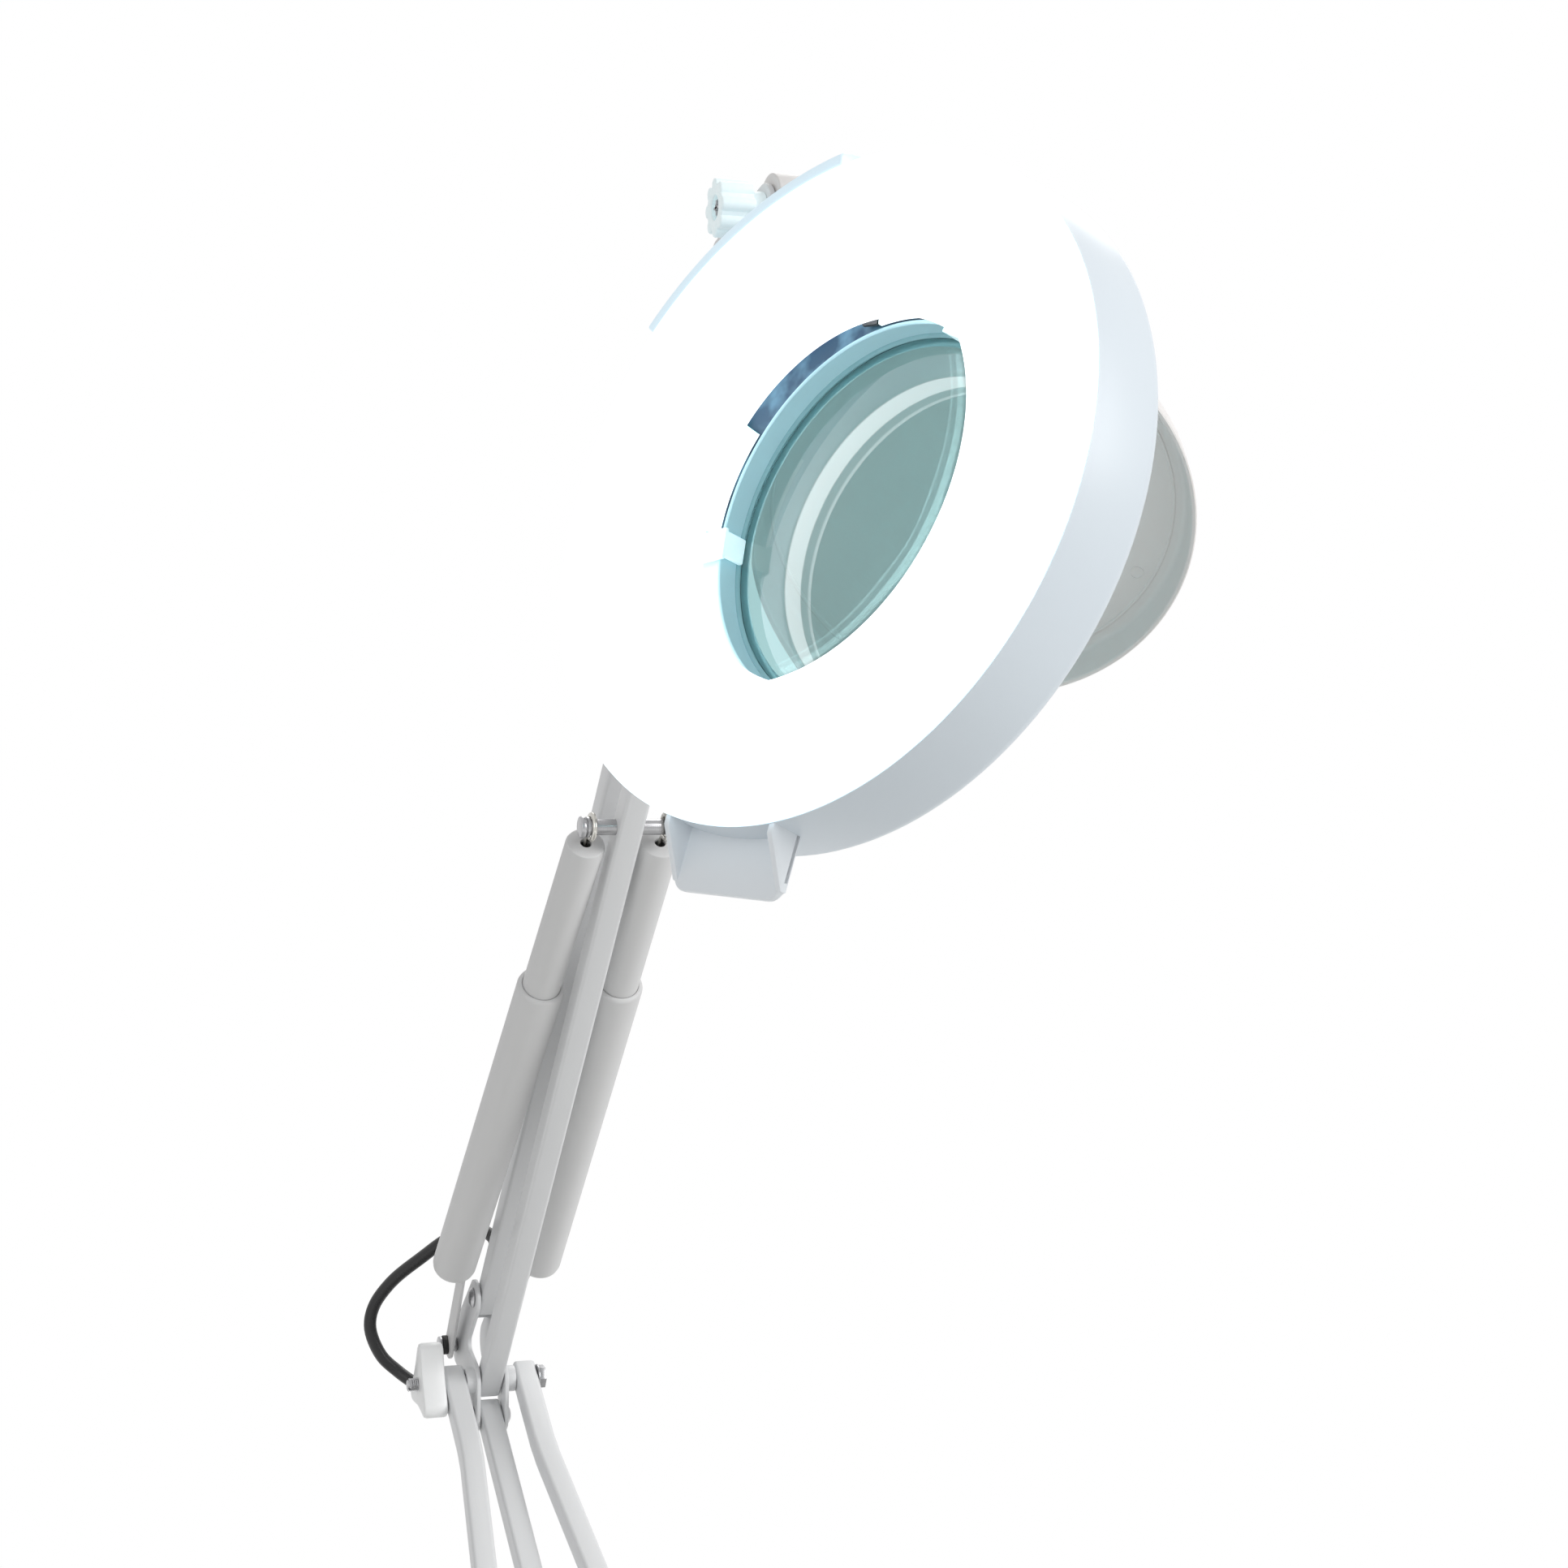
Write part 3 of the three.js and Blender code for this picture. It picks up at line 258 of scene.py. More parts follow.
def rubbed_group():
    """A mask along convex edges, broken up where hands and tools touch."""
    group, work, given, result = shader_group(
        "rubbed_edges", [("Width", "Float", 0.0008), ("Amount", "Float", 0.5)], [("Mask", "Float")])
    rounded = work.node("Bevel", {"samples": 4}, Radius=given["Width"]).outputs["Normal"]
    plain = work.node("NewGeometry").outputs["Normal"]
    edge = work.span(work.vector_math("DOT_PRODUCT", rounded, plain)["Value"], 0.995, 0.86)
    patch = work.span(work.noise(140.0, 3.0), 0.42, 0.68)
    broken = work.math("MULTIPLY", edge, patch)
    work.feed(result["Mask"], work.math("MULTIPLY", broken, given["Amount"], True))
    return group


def dust_group():
    """A mask of fine dust on surfaces that face up."""
    group, work, given, result = shader_group(
        "settled_dust", [("Amount", "Float", 0.3)], [("Mask", "Float")])
    facing = work.node("SeparateXYZ", Vector=work.node("NewGeometry").outputs["Normal"])
    upward = work.span(facing.outputs["Z"], 0.35, 1.0)
    specks = work.span(work.noise(420.0, 5.0), 0.35, 0.75)
    settled = work.math("MULTIPLY", upward, specks)
    work.feed(result["Mask"], work.math("MULTIPLY", settled, given["Amount"], True))
    return group


MOULDED = moulded_group()
RUBBED = rubbed_group()
DUST = dust_group()

# ---- finishes -------------------------------------------------------------------------------------


def linear(red, green, blue):
    """A colour given in screen values from 0 to 255."""
    def one(value):
        part = value / 255
        return part / 12.92 if part <= 0.04045 else ((part + 0.055) / 1.055) ** 2.4
    return (one(red), one(green), one(blue), 1.0)


def dimmed(colour, share):
    """A colour with this share of its light."""
    return tuple(part * share for part in colour[:3]) + (1.0,)


def new_finish(name):
    """A new material, the means to add nodes to it, and its shader's sockets."""
    material = bpy.data.materials.new(name)
    material.use_nodes = True
    return material, Shading(material.node_tree), material.node_tree.nodes["Principled BSDF"].inputs


def finish(name, colour, roughness, tone, clouds, grain, depth, spread, rubbed=None, rub=0.3, dust=0.15):
    """A solid finish with tone clouds, grain, rubbed edges and a little dust."""
    material, work, surface = new_finish(name)
    base = work.node("Group", {"node_tree": MOULDED}, Colour=colour, Tone=tone, Cloud_Scale=clouds,
                     Grain_Scale=grain, Roughness=roughness, Spread=spread).outputs
    tint = base["Colour"]
    if rubbed:
        edge = work.node("Group", {"node_tree": RUBBED}, Width=0.0008, Amount=rub)
        tint = work.blend(edge.outputs["Mask"], tint, rubbed)
    if dust:
        film = work.node("Group", {"node_tree": DUST}, Amount=dust)
        tint = work.blend(film.outputs["Mask"], tint, linear(226, 224, 219))
    work.feed(surface["Base Color"], tint)
    work.feed(surface["Roughness"], base["Roughness"])
    bump = work.node("Bump", Strength=depth, Distance=0.0002, Height=base["Height"])
    work.feed(surface["Normal"], bump.outputs["Normal"])
    return material


def frame_coordinates(work, place):
    """Object coordinates seen from a part's own frame, in metres."""
    position = work.node("TexCoord").outputs["Object"]
    mapping = work.node("Mapping", {"vector_type": "TEXTURE"}, Vector=position)
    mapping.inputs["Location"].default_value = place.to_translation() * MM
    mapping.inputs["Rotation"].default_value = place.to_quaternion().to_euler()
    return mapping.outputs["Vector"]


def radius_from_axis(work, place):
    """The distance from a part's own Z axis, in metres."""
    flat = work.vector_math("MULTIPLY", frame_coordinates(work, place), (1, 1, 0))
    return work.vector_math("LENGTH", flat["Vector"])["Value"]


def height_in_frame(work, place):
    """The height along a part's own Z axis, in metres."""
    return work.node("SeparateXYZ", Vector=frame_coordinates(work, place)).outputs["Z"]


def brushed_finish(name, colour, roughness, place, scale=(4000.0, 4000.0, 60.0)):
    """Drawn or turned metal: fine lines that run along one axis of the part's frame."""
    material, work, surface = new_finish(name)
    stretched = work.node("Mapping", Vector=frame_coordinates(work, place), Scale=scale)
    lines = work.noise(1.0, 3.0, stretched.outputs["Vector"])
    smudge = work.span(work.noise(90.0, 4.0), 0.4, 0.75)
    work.feed(surface["Base Color"], work.blend(smudge, colour, dimmed(colour, 0.82)))
    work.feed(surface["Roughness"], work.span(lines, 0.2, 0.8, roughness - 0.08, roughness + 0.1))
    bump = work.node("Bump", Strength=0.12, Distance=0.0001, Height=lines)
    work.feed(surface["Normal"], bump.outputs["Normal"])
    surface["Metallic"].default_value = 1.0
    return material


def glowing_finish(name):
    """Opal plastic lit from inside: even white, a little bluer towards the outer rim.

    Two belts of its inner wall are brighter for light that comes off glass and gloss, so that the lens
    mirrors the ring clearly.
    """
    material, work, surface = new_finish(name)
    uneven = work.span(work.noise(60.0, 2.0), 0.3, 0.7, -0.0006, 0.0006)
    rim = work.span(work.math("ADD", radius_from_axis(work, HEAD), uneven), 0.1105, 0.1133)
    work.feed(surface["Emission Color"], work.blend(rim, (1.0, 1.0, 1.0, 1.0), linear(214, 240, 250)))
    work.feed(surface["Base Color"], work.blend(rim, linear(244, 248, 252), linear(226, 240, 248)))
    work.feed(surface["Roughness"], work.span(work.noise(400.0, 2.0), 0.3, 0.7, 0.34, 0.42))
    path = work.node("LightPath").outputs
    mirrored = work.math("MAXIMUM", path["Is Glossy Ray"], path["Is Transmission Ray"])
    height = height_in_frame(work, HEAD)
    belt = work.math("MULTIPLY", work.span(height, -0.0168, -0.0158), work.span(height, -0.004, -0.005))
    lip = work.span(height, 0.0015, 0.0025, 0.0, 0.5)
    bright = work.math("MULTIPLY", mirrored, work.math("ADD", belt, lip))
    work.feed(surface["Emission Strength"], work.span(bright, 0, 1, 1.0, 6.5))
    return material


def painted_glow_finish(name):
    """Painted light and shade: a darker blue copy of the head plastic that glows as if the ring beside it
    floods it, less and less towards the fan's outer edge.
    """
    material, work, surface = new_finish(name)
    uneven = work.span(work.noise(40.0, 3.0), 0.3, 0.7, -0.0006, 0.0006)
    radius = work.math("ADD", radius_from_axis(work, HEAD), uneven)
    base = work.node("Group", {"node_tree": MOULDED}, Colour=linear(196, 214, 224), Tone=0.04,
                     Cloud_Scale=14.0, Grain_Scale=1800.0, Roughness=0.4, Spread=0.08).outputs
    work.feed(surface["Base Color"], base["Colour"])
    work.feed(surface["Emission Color"], base["Colour"])
    # Painted glow, strongest next to the ring and towards the front, fading outwards and backwards.
    painted_glow_near_ring = work.span(radius, 0.117, 0.126, 0.55, 0.1)
    painted_glow_near_front = work.span(height_in_frame(work, HEAD), -0.029, -0.008)
    work.feed(surface["Emission Strength"], work.math("MULTIPLY", painted_glow_near_ring, painted_glow_near_front))
    work.feed(surface["Roughness"], base["Roughness"])
    return material


def painted_shade_finish(name, colour, other, scale, low, high):
    """Painted light and shade: plastic whose tone drifts between two colours in patches, as where light
    falls on it.
    """
    material, work, surface = new_finish(name)
    patch = work.span(work.noise(scale, 3.0), low, high)
    work.feed(surface["Base Color"], work.blend(patch, colour, other))
    work.feed(surface["Roughness"], work.span(patch, 0, 1, 0.35, 0.5))
    return material


def lit_finish(name, colour, strength, unevenness):
    """Painted light: a surface that glows as if the lamps beside it flood it with light; also a lamp's own
    window, which really glows.
    """
    material, work, surface = new_finish(name)
    cells = work.span(work.noise(900.0, 2.0), 0.3, 0.7)
    tint = work.blend(cells, dimmed(colour, 1 - unevenness), colour)
    work.feed(surface["Base Color"], tint)
    work.feed(surface["Emission Color"], tint)
    work.feed(surface["Roughness"], work.span(cells, 0.0, 1.0, 0.4, 0.5))
    surface["Emission Strength"].default_value = strength
    return material


def glass_finish(name, colour):
    """Tinted optical glass with a trace of dust and finger marks in its gloss."""
    material, work, surface = new_finish(name)
    work.feed(surface["Roughness"], work.span(work.noise(38.0, 5.0), 0.5, 0.8, 0.0, 0.045))
    cloud = work.span(work.noise(26.0, 3.0), 0.3, 0.7)
    work.feed(surface["Base Color"], work.blend(cloud, colour, dimmed(colour, 0.94)))
    surface["Transmission Weight"].default_value = 1.0
    surface["IOR"].default_value = 1.5
    return material


arm_paint = finish("arm_paint", linear(222, 223, 224), 0.42, 0.05, 18.0, 900.0, 0.16, 0.1,
                   rubbed=linear(196, 196, 196))
sleeve_plastic = finish("sleeve_plastic", linear(212, 212, 212), 0.5, 0.05, 22.0, 2200.0, 0.1, 0.08,
                        rubbed=linear(232, 233, 234), dust=0.1)
head_plastic = finish("head_plastic", linear(214, 223, 230), 0.36, 0.04, 14.0, 1800.0, 0.06, 0.08,
                      rubbed=linear(236, 240, 244), rub=0.25, dust=0.1)
# A lighter copy of the head plastic: painted light on the scoop, which lies in shade.
scoop_painted_light = finish("scoop_painted_light", linear(232, 237, 241), 0.34, 0.05, 30.0, 1800.0, 0.05, 0.08,
                       rubbed=linear(238, 241, 248), dust=0.0)
cover_plastic = finish("cover_plastic", linear(226, 223, 221), 0.45, 0.05, 20.0, 2400.0, 0.12, 0.08,
                       rubbed=linear(228, 227, 225), dust=0.1)
knob_plastic = finish("knob_plastic", linear(243, 244, 244), 0.34, 0.05, 60.0, 2000.0, 0.06, 0.08,
                      rubbed=linear(243, 245, 246), dust=0.1)
collar_plastic = finish("collar_plastic", linear(182, 218, 227), 0.35, 0.1, 40.0, 2000.0, 0.05, 0.08,
                        dust=0.0)
seal_rubber = finish("seal_rubber", linear(122, 166, 173), 0.5, 0.15, 80.0, 2500.0, 0.2, 0.1, dust=0.0)
black_plastic = finish("black_plastic", linear(34, 35, 37), 0.42, 0.2, 60.0, 2400.0, 0.2, 0.12,
                       rubbed=linear(78, 79, 81), rub=0.4, dust=0.12)
cord_jacket = finish("cord_jacket", linear(15, 15, 17), 0.42, 0.25, 70.0, 1800.0, 0.12, 0.15, dust=0.03)
pad_rubber = finish("pad_rubber", linear(38, 38, 39), 0.75, 0.25, 60.0, 1200.0, 0.5, 0.1, dust=0.25)
strap_fabric = finish("strap_fabric", linear(40, 40, 42), 0.85, 0.3, 160.0, 3500.0, 0.9, 0.1, dust=0.2)
# The supply's sleeve is dark blue as painted shade inside the head.
driver_painted_shade = finish("driver_painted_shade", linear(44, 92, 138), 0.3, 0.35, 90.0, 900.0, 0.3, 0.15, dust=0.0)
wire_white = finish("wire_white", linear(222, 226, 228), 0.4, 0.1, 200.0, 2000.0, 0.1, 0.1, dust=0.0)
steel = brushed_finish("steel", linear(174, 174, 176), 0.3, ALONG_X)
spring_wire = brushed_finish("spring_wire", linear(196, 194, 188), 0.22, ALONG_X, (900.0, 900.0, 900.0))
brass = brushed_finish("brass", linear(214, 186, 122), 0.3, CLAMP)
diffuser_glow = glowing_finish("diffuser_glow")
# The neck fan glows as painted light from the ring, and its darker blue is painted shade.
fan_painted_glow = painted_glow_finish("fan_painted_glow")
# Dark blue with lighter patches: painted shade on the floor of the head where the ring's light does not
# reach.
painted_shade_blue = painted_shade_finish("painted_shade_blue", linear(14, 58, 84), linear(92, 132, 152), 70.0, 0.46, 0.66)
lamp_window = lit_finish("lamp_window", linear(240, 250, 255), 3.0, 0.15)
# The board, the clip posts and the lamp packages glow faintly: painted light from the lamps beside them.
board_painted_glow = lit_finish("board_painted_glow", linear(240, 247, 248), 0.8, 0.05)
# The clips and their screws glow faintly: painted light from the ring beside them.
clip_painted_glow = lit_finish("clip_painted_glow", linear(222, 246, 250), 0.35, 0.03)
# The board's end faces glow teal: painted light where they would lie in shade.
board_edge_painted_glow = lit_finish("board_edge_painted_glow", linear(40, 168, 158), 0.7, 0.1)
lens_glass = glass_finish("lens_glass", linear(173, 213, 214))
# The star knob is made brighter and glows faintly: painted light on a knob that lies in shade.
star_knob_painted_light = lit_finish("star_knob_painted_light", linear(226, 238, 240), 0.25, 0.04)

# ---- shaping helpers ------------------------------------------------------------------------------


def soften(shape, width, segments=2, sharper=35, only=None):
    """Rounds the edges of a shape that are sharper than the given angle."""
    edges = [edge for edge in shape.edges if len(edge.link_faces) == 2
             and edge.calc_face_angle() > radians(sharper) and (only is None or only(edge))]
    bmesh.ops.bevel(shape, geom=edges, offset=width, affect="EDGES", segments=segments, profile=0.5,
                    material=-1, clamp_overlap=True)
    return shape


def placed(shape, matrix):
    bmesh.ops.transform(shape, matrix=matrix, verts=shape.verts)
    return shape


def joined(first, *others):
    """One shape made of several closed ones."""
    for other in others:
        mesh = bpy.data.meshes.new("joined")
        other.to_mesh(mesh)
        other.free()
        first.from_mesh(mesh)
        bpy.data.meshes.remove(mesh)
    return first


def turned(outline, sides=64, closed=False, sweep=360.0, start=0.0):
    """A round piece about Z from [radius, height] pairs."""
    shape = bmesh.new()
    points = [shape.verts.new((r * cos(radians(start)), r * sin(radians(start)), z)) for r, z in outline]
    edges = [shape.edges.new(pair) for pair in zip(points, points[1:])]
    if closed:
        edges.append(shape.edges.new((points[-1], points[0])))
    full = sweep >= 360
    bmesh.ops.spin(shape, geom=points + edges, axis=(0, 0, 1), cent=(0, 0, 0), angle=radians(sweep),
                   steps=sides, use_merge=full)
    bmesh.ops.remove_doubles(shape, verts=shape.verts, dist=1e-4)
    if not full:
        bmesh.ops.holes_fill(shape, edges=[edge for edge in shape.edges if edge.is_boundary], sides=0)
    bmesh.ops.recalc_face_normals(shape, faces=shape.faces)
    return shape


def ring(inner, outer, low, high, sides=40, sweep=360.0, start=0.0):
    """A plain ring about Z, or a stretch of one."""
    return turned([(inner, low), (outer, low), (outer, high), (inner, high)], sides, True, sweep, start)


def round_bar(radius, z0, z1, sides):
    shape = bmesh.new()
    bmesh.ops.create_cone(shape, cap_ends=True, segments=sides, radius1=radius, radius2=radius,
                          depth=z1 - z0, matrix=move(0, 0, (z0 + z1) / 2))
    return shape


def block(width, depth, height, x=0, y=0, z=0, edge=0.0, segments=2):
    shape = bmesh.new()
    bmesh.ops.create_cube(shape, size=1, matrix=move(x, y, z) @ Matrix.Diagonal((width, depth, height, 1)))
    return soften(shape, edge, segments) if edge else shape


def new_corners(grown):
    """The corners that an extrusion has made."""
    return [part for part in grown["geom"] if isinstance(part, bmesh.types.BMVert)]


def plate(outline, thickness):
    """A flat plate from [x, y] points, standing on the XY plane."""
    shape = bmesh.new()
    face = shape.faces.new([shape.verts.new((x, y, 0)) for x, y in outline])
    grown = bmesh.ops.extrude_face_region(shape, geom=[face])
    bmesh.ops.translate(shape, vec=(0, 0, thickness), verts=new_corners(grown))
    bmesh.ops.recalc_face_normals(shape, faces=shape.faces)
    return shape


def strap(discs, x0, x1, sides=64, edge=0.4):
    """A flat link in the YZ plane that wraps round discs [y, z, radius]."""
    shape = bmesh.new()
    for y, z, radius in discs:
        for x in (x0, x1):
            bmesh.ops.create_circle(shape, segments=sides, radius=radius, matrix=move(x, y, z) @ ALONG_X)
    wrapped = bmesh.ops.convex_hull(shape, input=shape.verts)
    loose = {part for key in ("geom_interior", "geom_unused") for part in wrapped[key]
             if isinstance(part, bmesh.types.BMVert)}
    bmesh.ops.delete(shape, geom=list(loose), context="VERTS")
    bmesh.ops.dissolve_limit(shape, angle_limit=radians(0.5), verts=shape.verts, edges=shape.edges)
    bmesh.ops.recalc_face_normals(shape, faces=shape.faces)
    return soften(shape, edge, 2, 60)


def rounded_loop(discs):
    """The outline of a band round discs [x, y, radius], turning left; a negative radius bends inwards."""
    leaving = []
    for (x0, y0, r0), (x1, y1, r1) in zip(discs, discs[1:] + discs[:1]):
        length = sqrt((x1 - x0) ** 2 + (y1 - y0) ** 2)
        leaving.append(atan2(y1 - y0, x1 - x0) - acos((r0 - r1) / length))
    outline = []
    step = 9
    for number, (x, y, radius) in enumerate(discs):
        start, end = leaving[number - 1], leaving[number]
        way = 1 if radius > 0 else -1
        swept = ((end - start) * way) % (2 * pi)
        count = max(2, int(degrees(swept) / step))
        for k in range(count + 1):
            angle = start + way * swept * k / count
            outline.append((x + radius * cos(angle), y + radius * sin(angle)))
    return outline


def cheek_plate(discs, x0, x1, edge=0.4):
    """A plate in the YZ plane with an outline round discs, with softened edges."""
    shape = placed(plate(rounded_loop(discs), x1 - x0), move(x0, 0, 0) @ IN_YZ)
    return soften(shape, edge, 2, 60)


def pin(steps, edge=0.5):
    """A stepped pin along X from [x, radius] pairs; a radius holds from the place before it."""
    outline = [(0, steps[0][0])]
    for number, (x, radius) in enumerate(steps):
        outline.append((radius, x))
        if number < len(steps) - 1:
            outline.append((radius, steps[number + 1][0]))
    outline.append((0, steps[-1][0]))
    return placed(soften(turned(outline, 40), edge, 2, 60), ALONG_X)


def square_tube(z0, z1):
    """An arm's square tube along Z, with well rounded corners."""
    def upright(edge):
        return abs(edge.verts[0].co.z - edge.verts[1].co.z) > 1
    shape = block(TUBE, TUBE, z1 - z0, z=(z0 + z1) / 2)
    soften(shape, 1.7, 5, only=upright)
    return soften(shape, 0.5, 2, 60)


def thread(radius, depth, pitch, z0, z1):
    """The raised ridge of a screw thread."""
    shape = bmesh.new()
    corners = [(radius - 0.2, -pitch * 0.42), (radius + depth, 0), (radius - 0.2, pitch * 0.42)]
    face = shape.faces.new([shape.verts.new((r, 0, z0 + z)) for r, z in corners])
    turns = (z1 - z0) / pitch
    steps = int(turns * 24)
    bmesh.ops.spin(shape, geom=[face], axis=(0, 0, 1), cent=(0, 0, 0), dvec=(0, 0, (z1 - z0) / steps),
                   angle=2 * pi * turns, steps=steps)
    bmesh.ops.recalc_face_normals(shape, faces=shape.faces)
    return shape


def hexagon(radius, x0, x1):
    """A hexagon nut's body along X."""
    low, high = sorted((x0, x1))
    return placed(soften(round_bar(radius, low, high, 6), 0.35, 2, 40), ALONG_X)


def rivet(name, reach, head, head_radius, body, place, node):
    """A pivot pin with domed heads outside two cheeks."""
    outer = -reach - head
    inner = -reach - 0.3
    dome = [(0, outer), (head_radius * 0.55, outer + 0.25), (head_radius * 0.88, -reach - head * 0.55),
            (head_radius, inner - min(0.4, head / 3)), (head_radius, inner), (PIN, inner)]
    outline = dome + [(r, -z) for r, z in reversed(dome)]
    shape = placed(soften(turned(outline, 40), 0.15, 2, 60), ALONG_X)
    make(name, shape, steel, body, place, node)


def on_side(side, near, far):
    """Two places along X on the left (-1) or the right (1), in rising order."""
    return sorted((side * near, side * far))


def cross_slots(width, length, depth, z, edge, angles):
    """The two bars that show as a screw's cross."""
    return [placed(block(width, length, depth, 0, 0, z, edge), turn("Z", angle)) for angle in angles]


def new_piece(name, shape, materials):
    """An object at the origin with this shape and these materials."""
    mesh = bpy.data.meshes.new(name)
    shape.to_mesh(mesh)
    shape.free()
    for each in materials:
        mesh.materials.append(each)
    piece = bpy.data.objects.new(name, mesh)
    scene.collection.objects.link(piece)
    return piece


def declare(piece, body, replaces):
    """Says which body carries a piece and hides the solids it stands for."""
    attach(piece, body)
    if replaces:
        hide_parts(*([replaces] if isinstance(replaces, str) else replaces))
    return piece


def make(name, shape, material, body, place=CLAMP, replaces=(), smooth=35):
    """Turns a shape in millimetres into a piece in metres that rides on a body."""
    placed(shape, Matrix.Scale(MM, 4) @ place)
    piece = new_piece(name, shape, material if isinstance(material, list) else [material])
    piece.data.shade_smooth()
    piece.data.set_sharp_from_angle(angle=radians(smooth))
    return declare(piece, body, replaces)


def wire(name, points, radius, material, body, replaces=(), sides=3):
    """A round wire or cord along points in metres, as one open curve."""
    curve = bpy.data.curves.new(name, "CURVE")
    curve.dimensions = "3D"
    curve.bevel_depth = radius
    curve.bevel_resolution = sides
    curve.use_fill_caps = True
    line = curve.splines.new("POLY")
    line.points.add(len(points) - 1)
    for spot, point in zip(line.points, points):
        spot.co = (*point, 1)
    line.use_smooth = True
    piece = bpy.data.objects.new(name, curve)
    scene.collection.objects.link(piece)
    curve.materials.append(material)
    return declare(piece, body, replaces)


def smooth_route(points, per_span=6):
    """A centripetal Catmull-Rom curve through the points."""
    points = [Vector(point) for point in points]
    ends = [2 * points[0] - points[1], *points, 2 * points[-1] - points[-2]]
    route = []
    for a, b, c, d in zip(ends, ends[1:], ends[2:], ends[3:]):
        t1 = sqrt((b - a).length)
        t2 = t1 + sqrt((c - b).length)
        t3 = t2 + sqrt((d - c).length)
        for step in range(per_span):
            t = t1 + (t2 - t1) * step / per_span
            ab = a.lerp(b, t / t1)
            bc = b.lerp(c, (t - t1) / (t2 - t1))
            cd = c.lerp(d, (t - t2) / (t3 - t2))
            abc = ab.lerp(bc, t / t2)
            bcd = bc.lerp(cd, (t - t1) / (t3 - t1))
            route.append(abc.lerp(bcd, (t - t1) / (t2 - t1)))
    return route + [points[-1]]


# ---- cords and the mains lead -----------------------------------------------------------------------

elbow_points = [
    (0, -15.9, 68.2), (-0.6, -10.2, 73.5), (-7, 0, 76.5), (-18, 11, 71), (-30, 22, 60), (-44, 33, 46),
    (-52, 38, 33), (-53.5, 39, 22), (-48, 38, 8), (-40, 36, 0), (-33.5, 32.4, -5), (-27.5, 28.2, -8.8),
    (-23, 23.2, -11.2), (-19.9, 17.2, -13), (-18.6, 9.5, -14), (-18.4, 2, -14.2), (-18.4, -5.1, -13.5)]
head_points = [
    (0, 48.2, -1.9), (0, 43, 3), (0.5, 36, 7.4), (3, 28.5, 10.4), (8, 21, 12), (14, 14, 10.8), (20, 7, 6.5),
    (25, 1, -1), (27.5, -3, -11), (28, -4, -25), (24.5, -4, -38), (16, -5.5, -47.5), (7, -8.6, -50.4),
    (-1.5, -12.1, -48.4)]
EXIT = -40.8
REST = CORD + 0.1
lead_points = [
    (0, EXIT, 22), (0, EXIT - 8, 22), (0, EXIT - 19, 19), (0, EXIT - 31, 12.5), (0, EXIT - 43, 6),
    (0.5, EXIT - 54, REST), (3.5, EXIT - 68, REST), (10, EXIT - 80, REST), (21, EXIT - 89, REST),
    (34, EXIT - 92, REST), (48, EXIT - 88, REST), (58, EXIT - 79, REST), (64, -114, REST),
    (65.35, -106, REST), (65.35, -99.3, REST)]
COIL_RADIUS = 36
COIL_PITCH = 7.1
COIL_TURNS = 6
COIL_MIDDLE = Vector((112, -92, 0))
COIL_LENGTH = 2 * pi * COIL_RADIUS * COIL_TURNS
COIL_RUN_IN = 7
PLUG_TAIL = 36


def cord_loop(name, points, origin, radius, body, node):
    """A short cord whose two ends are held by the parts that it joins."""
    loop = [(point + origin) * MM for point in smooth_route(points)]
    piece = wire(name, loop, radius * MM, cord_jacket, body, node, 6)


def coil_point(along):
    """The place on the two-layer coil at a length along its turns, with straight ends."""
    turns = held(along / COIL_LENGTH) * COIL_TURNS
    straight = along - held(along, 0, COIL_LENGTH)
    from_middle = abs(turns - COIL_TURNS / 2)
    radius = COIL_RADIUS + (from_middle - COIL_TURNS / 4) * COIL_PITCH
    rise = held((turns - COIL_TURNS / 2 + 0.25) / 0.5)
    climb = rise * rise * (3 - 2 * rise)
    angle = pi - turns * 2 * pi
    across = Vector((radius * cos(angle), radius * sin(angle) + straight, 0))
    return COIL_MIDDLE + across + Vector((0, 0, REST + climb * COIL_PITCH))


def lead_sleeve():
    """The ribbed relief where the lead leaves the clamp."""
    ribs = []
    for number in range(5):
        z = 6 + number * 3.6
        crest = 5.3 - 0.3 * number
        groove = 4.5 - 0.22 * number
        ribs += [(crest, z), (crest, z + 2.2), (groove, z + 2.5), (groove, z + 3.3)]
    outline = [(0, 0), (5.6, 0), (5.6, 3), (4.9, 3.6), (4.9, 5.7), *ribs,
               (CORD + 0.5, 25), (CORD + 0.5, 26), (0, 26)]
    sleeve = soften(turned(outline, 48), 0.25, 2, 40)
    place = move(0, -14.5, 22) @ turn("X", 90)
    make("lead_sleeve", sleeve, black_plastic, "clamp", place, "lead_relief")


